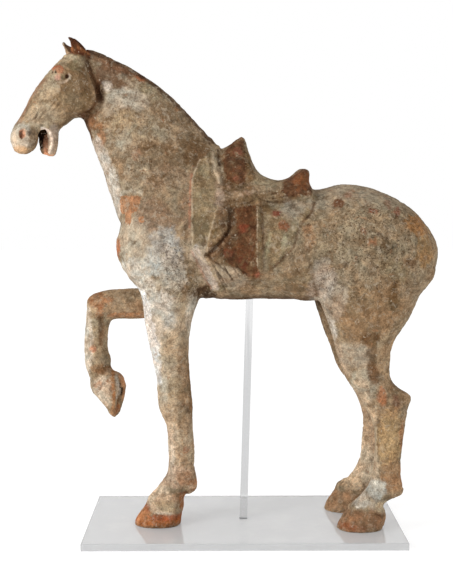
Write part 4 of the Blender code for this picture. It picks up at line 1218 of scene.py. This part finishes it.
def dirt_amounts(mesh):
    """How much speckle, brown earth and chalky bloom lies at each corner of the skin."""
    points = read(mesh)
    x, z, out, head = side_view(points)
    left, right = (out <= 0) * 1.0, (out > 0) * 1.0
    wx = x + 4.0 * grain(points, 15.0, 2, 17.0)
    wz = z + 4.0 * grain(points, 15.0, 2, 29.0)
    dirt = np.tile(np.array([0.35, 0.45, 0.35]), (len(points), 1))
    for place, reach, amounts, sides in (
        ((-100, 440), (60, 60), (0.45, 0.65, 0.55), 1.0),
        ((-90, 400), (30, 22), (0.55, 0.85, 0.30), 1.0),
        ((-112, 320), (28, 32), (0.25, 0.30, 0.60), 1.0),
        ((140, 318), (70, 44), (0.95, 0.60, 0.40), left + 0.7 * right),
        ((110, 370), (60, 10), (0.30, 0.40, 0.50), 1.0),
        ((192, 315), (12, 28), (0.55, 0.50, 0.30), 1.0),
        ((-78, 303), (15, 22), (1.00, 0.20, 0.85), left + 0.7 * right),
        ((-72, 268), (30, 14), (0.90, 0.50, 0.55), left),
        ((10, 320), (30, 44), (0.40, 0.75, 0.20), 1.0),
        ((46, 330), (26, 36), (0.45, 0.45, 0.45), 1.0),
        ((-84, 170), (40, 80), (0.40, 0.30, 0.45), left),
        ((150, 100), (40, 80), (0.50, 0.40, 0.30), 1.0),
        ((113, 276), (44, 20), (0.80, 0.40, 0.50), 1.0),
        ((-200, 474), (44, 36), (0.30, 0.50, 0.40), 1.0),
        ((-243, 430), (16, 18), (0.15, 0.20, 0.45), 1.0),
        ((-157, 482), (11, 24), (0.25, 0.00, 0.00), 1.0),
        ((-184, 526), (16, 9), (0.10, 0.20, 0.00), 1.0),
        ((-208, 500), (8, 10), (0.10, 0.10, 0.00), 1.0),
        ((-221, 424), (9, 18), (0.00, 0.00, 0.00), 1.0),
    ):
        weight = spot(wx, wz, place, reach, 0.5) * sides
        dirt += (np.array(amounts) - dirt) * np.clip(weight, 0, 1)[:, None]
    return dirt


def line_distances(mesh):
    """Distances in mm from each corner to the pale edges, the salmon braid and the creases.

    Fainter lines count as a little farther off than they are.
    """
    x, z, out, head = side_view(read(mesh))
    trunk = (head < 0.5) & (z > 250)
    far = 12.0

    def nearest(lines, where):
        best = np.full(x.shape, far)
        for places in lines:
            best = np.minimum(best, off_line(x, z, places, far))
        return np.where(where, best, far)

    pale = nearest([CLOTH_EDGE], trunk)
    pale = np.minimum(pale, nearest([FLAP_SEAMS[0], STRAP_END, FRONT_STRAP], trunk) + 0.35)
    hind = nearest([HIND_TENDON], (x > 120) & (z < 160) & (out < 0))
    braid = nearest([CLOTH_EDGE_BRAID], trunk)
    dark = nearest([FLAP_CREASE[2:], BOW_CREVICE], trunk)
    faint = nearest([FLAP_SEAMS[1], *FOLDS, *SEAT_WRINKLES], trunk) + 0.7
    jaw = nearest([JAW_LINE], (z > 452) & (x < -150)) + 0.8
    return np.stack([np.minimum(pale, hind), braid, np.minimum.reduce([dark, faint, jaw])],
                    axis=1)


def patch_depths(mesh):
    """Depths in mm inside the red leather, the reddish seam and the bare clay."""
    x, z, out, head = side_view(read(mesh))
    trunk = head < 0.5
    far = 8.0
    leather = np.full(x.shape, -far)
    for outline in (BOW_LEATHER, CANTLE_LEATHER, FLAP_LEATHER, LOW_LEATHER):
        leather = np.maximum(leather, inside(x, z, outline))
    seam = off_line(x, z, REAR_SEAM[1:], far)
    bare = inside(x, z, BARE_SQUARE)
    for (px, pz), (rx, rz) in BARE_DRIPS:
        drip = (1 - np.hypot((x - px) / rx, (z - pz) / rz)) * min(rx, rz)
        bare = np.maximum(bare, drip)
    bare = np.where(out < 0, bare, -far)
    return np.stack([np.where(trunk, leather, -far), np.where(trunk, seam, far),
                     np.clip(np.where(trunk, bare, -far), -far, far)], axis=1)


def red_traces(mesh):
    """Strength and colour of the red pigment left on the saddle."""
    points = read(mesh)
    x, z, out, head = side_view(points)
    ragged = grain(points, 4.0, 2, 14.0)
    colour = np.tile(tone(OLD_RED), (len(points), 1))
    streaks = grain(points, 5.0, 3, 61.0, (1.4, 1.0, 0.4))
    lay(colour, (66, 38, 24), smooth_step(streaks, 0.0, 0.6) * 0.7)
    lay(colour, (124, 90, 62), smooth_step(-streaks, 0.1, 0.6) * 0.7)
    for place, reach, paint, strength, *tilt in RED_TRACES:
        patch = smooth_step(spot(x, z, place, reach, 0.4, *tilt) + 0.4 * ragged, 0.3, 0.8)
        lay(colour, paint, patch * strength)
    return colour


for name, worked_out in (
    ("coat", brushed_coat),
    ("dirt", dirt_amounts),
    ("lines", line_distances),
    ("patches", patch_depths),
    ("leather", red_traces),
):
    values = worked_out(horse.data).astype(np.float32)
    layer = horse.data.attributes.new(name, "FLOAT_VECTOR", "POINT")
    layer.data.foreach_set("vector", values.ravel())


def stored(tree, name):
    return add_node(tree, "ShaderNodeAttribute", attribute_name=name).outputs["Vector"]


def grey(tree, value):
    joined = add_node(tree, "ShaderNodeCombineXYZ")
    for name in ("X", "Y", "Z"):
        tree.links.new(value, joined.inputs[name])
    return joined.outputs["Vector"]


def worn_earthenware():
    """Matt fired clay under its worn coat, with specks, crumbs of earth and chalky bloom."""
    material, tree, shader = new_material("worn_slipped_clay")
    shader.inputs["Specular IOR Level"].default_value = CLAY_GLOSS
    specks, earth, chalk = three_values(tree, stored(tree, "dirt"))
    pale, braid, dark = three_values(tree, stored(tree, "lines"))
    leather, seam, bare = three_values(tree, stored(tree, "patches"))
    crumble = blotches(tree, 0.0032, 3.0, 0.65, 0.3, 3.3)
    ragged = step_up(tree, crumble, 0.25, 0.75, -1.0, 1.0)

    def times(first, second):
        return combine(tree, "MULTIPLY", first, second)

    def crumbled(distance, amount, low, high, bottom=0.0, top=1.0):
        """A step across a line or border that is broken up in crumbs."""
        edge = combine(tree, "MULTIPLY_ADD", ragged, amount, distance)
        return step_up(tree, edge, low, high, bottom, top)

    # Painted leather, bare clay, braid and seams, each with a crumbled border
    colour = stored(tree, "coat")
    patchy = clouds(tree, (0.008, 4.0, 0.7, 0.4, 6.1), 0.30, 0.46, 0.25, 1.0)
    red = times(crumbled(leather, 2.2, -1.8, 1.2), patchy)
    for factor, paint in (
        (times(red, 0.92), stored(tree, "leather")),
        (times(crumbled(bare, 1.1, -0.4, 0.4), 0.95), tone(CLAY)),
        (crumbled(braid, 0.9, 0.9, 1.9, 0.8, 0.0), tone(BRAID_PINK)),
        (crumbled(seam, 1.0, 0.2, 2.2, 0.55, 0.0), tone(SEAM_RED)),
    ):
        colour = over(tree, factor, colour, paint)

    # Tones that drift over the whole figure: greener, pinker, lighter, darker
    drift = clouds(tree, (0.020, 3.0, 0.6, 0.5, 9.4), 0.36, 0.64)
    tint = over(tree, drift, (1.05, 0.985, 0.93), (0.95, 1.01, 1.04))
    colour = over(tree, 1.0, colour, tint, "MULTIPLY")
    broad = clouds(tree, (0.014, 4.0, 0.65, 0.3), 0.32, 0.68, 0.76, 1.24)
    fine = clouds(tree, (0.0046, 3.0, 0.7, 0.2, 1.9), 0.30, 0.70, 0.75, 1.25)
    dust = clouds(tree, (0.0016, 2.0, 0.6, 0.0, 5.2), 0.28, 0.72, 0.79, 1.21)
    colour = over(tree, 1.0, colour, grey(tree, times(times(broad, fine), dust)), "MULTIPLY")

    # Earth, bloom, bare flecks and pale chips, with less of them on the red leather
    crumbs = times(clouds(tree, (0.009, 5.0, 0.72, 0.6, 7.7), 0.50, 0.62), earth)
    clean = step_up(tree, red, 0.2, 0.8, 1.0, 0.15)
    bloom = times(clouds(tree, (0.0065, 5.0, 0.75, 0.5, 4.4), 0.52, 0.64), chalk)
    flecks = clouds(tree, (0.010, 4.0, 0.6, 0.2, 8.1), 0.66, 0.70, 0.0, 0.45)
    chips = clouds(tree, (0.0042, 2.0, 0.5, 0.1, 2.2), 0.67, 0.72, 0.0, 0.6)

    # Fine dark specks: short worm-like strokes that gather here and there, and dots
    worm = blotches(tree, 0.0040, 2.0, 0.5, 1.3, 6.6)
    worm = combine(tree, "ABSOLUTE", combine(tree, "SUBTRACT", worm, 0.5))
    worm = step_up(tree, worm, 0.012, 0.034, 1.0, 0.0)
    gathered = clouds(tree, (0.009, 3.0, 0.6, 0.3, 3.9), 0.44, 0.60)
    dots = clouds(tree, (0.0021, 2.0, 0.5, 0.2, 7.3), 0.58, 0.66)
    peppered = times(combine(tree, "MAXIMUM", times(worm, gathered), dots), specks)

    # Pale worn edges and dark creases, the creases earth and painted shade, broken along their
    # length
    broken = clouds(tree, (0.007, 3.0, 0.6, 0.2, 1.1), 0.34, 0.56)
    worn_edge = times(crumbled(pale, 0.55, 0.1, 1.5, 0.7, 0.0), broken)
    crease_earth_and_shade = times(crumbled(dark, 0.7, -0.1, 2.2, 0.78, 0.0),
                   step_up(tree, broken, 0.0, 1.0, 0.45, 1.0))
    for factor, paint in (
        (crumbs, tone(BROWN_EARTH)),
        (times(bloom, clean), tone(PALE_SLIP)),
        (flecks, tone(CLAY)),
        (times(chips, clean), tone(PALE_SLIP)),
        (times(peppered, 0.78), tone(DARK_EARTH) * 0.7),
        (worn_edge, tone(WORN_EDGE)),
        (crease_earth_and_shade, tone(CREASE_EARTH_AND_SHADE)),
    ):
        colour = over(tree, factor, colour, paint)
    tree.links.new(colour, shader.inputs["Base Color"])
    tree.links.new(step_up(tree, fine, 0.78, 1.22, 0.95, 0.8), shader.inputs["Roughness"])

    height = combine(tree, "MULTIPLY_ADD", peppered, -0.5, combine(tree, "ADD", fine, dust))
    height = combine(tree, "MULTIPLY_ADD", crumbs, 0.35, height)
    bump = add_node(tree, "ShaderNodeBump")
    bump.inputs["Strength"].default_value = BUMP_STRENGTH
    bump.inputs["Distance"].default_value = BUMP_HEIGHT
    tree.links.new(height, bump.inputs["Height"])
    tree.links.new(bump.outputs["Normal"], shader.inputs["Normal"])
    return material


horse.data.materials.clear()
horse.data.materials.append(worn_earthenware())
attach(horse, "root")
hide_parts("horse")


# The studio: a wide white floor, lit from below like a light table, under a sky that is white
# round the sides and dimmer overhead, with a large soft light at the front left.
FLOOR_SIZE = 12.0
FLOOR_GAP = 0.0002
FLOOR_WHITE = (0.35, 0.35, 0.35)
FLOOR_GLOW = 0.76
FLOOR_MATTNESS = 0.9
FLOOR_VARIATION = 1.02
KEY_PLACE = (-1.7, -1.3, 1.2)
KEY_AIM = (0.0, 0.0, 0.28)
KEY_SIZE = 1.0
KEY_POWER = 24.0
SKY_FADE = (0.42, 0.90)
SKY_OVERHEAD = 0.45


def light_table():
    material, tree, shader = new_material("white_floor")
    shader.inputs["Roughness"].default_value = FLOOR_MATTNESS
    shader.inputs["Emission Color"].default_value = (1.0, 1.0, 1.0, 1.0)
    shader.inputs["Emission Strength"].default_value = FLOOR_GLOW
    cloudy = clouds(tree, (0.4,), 0.3, 0.7)
    lighter = tuple(value * FLOOR_VARIATION for value in FLOOR_WHITE)
    tree.links.new(over(tree, cloudy, FLOOR_WHITE, lighter), shader.inputs["Base Color"])
    return material


def soft_light(name, place, aim, size, power):
    lamp = bpy.data.lights.new(name, "AREA")
    lamp.shape = "DISK"
    lamp.size = size
    lamp.energy = power
    made = add_object(name, lamp)
    made.location = place
    made.rotation_euler = (Vector(aim) - Vector(place)).to_track_quat("-Z", "Y").to_euler()


def studio_sky():
    """White at the horizon and a soft grey overhead."""
    sky = bpy.data.worlds.new("studio_sky")
    sky.use_nodes = True
    tree = sky.node_tree
    ray = add_node(tree, "ShaderNodeTexCoord")
    height = three_values(tree, ray.outputs["Generated"])[2]
    level = step_up(tree, height, *SKY_FADE, 1.0, SKY_OVERHEAD)
    tree.links.new(grey(tree, level), tree.nodes["Background"].inputs["Color"])
    return sky


form = bmesh.new()
bmesh.ops.create_grid(form, x_segments=1, y_segments=1, size=FLOOR_SIZE / 2)
floor_mesh = bpy.data.meshes.new("floor")
form.to_mesh(floor_mesh)
form.free()
floor = add_object("floor", floor_mesh)
floor.location = (0.0, 0.0, -FLOOR_GAP)
floor_mesh.materials.append(light_table())
bpy.context.scene.world = studio_sky()
soft_light("key", KEY_PLACE, KEY_AIM, KEY_SIZE, KEY_POWER)
bpy.context.scene.view_settings.view_transform = "Standard"


# The camera, level with the saddle and a little to the left of the middle, as in the photograph.
VIEW_PLACE = (-0.0286, -1.176, 0.3776)
VIEW_TILT = 5.33
VIEW_TURN = -0.46
FILM_HEIGHT = 36.0
FOCAL_PIXELS = 1050.0
PHOTO_PIXELS_HIGH = 585.0

view = bpy.data.cameras.new("view")
view.sensor_width = FILM_HEIGHT
view.lens = FOCAL_PIXELS / PHOTO_PIXELS_HIGH * FILM_HEIGHT
camera = add_object("view", view)
camera.location = VIEW_PLACE
camera.rotation_euler = (math.radians(90.0 - VIEW_TILT), 0.0, math.radians(VIEW_TURN))
bpy.context.scene.camera = camera
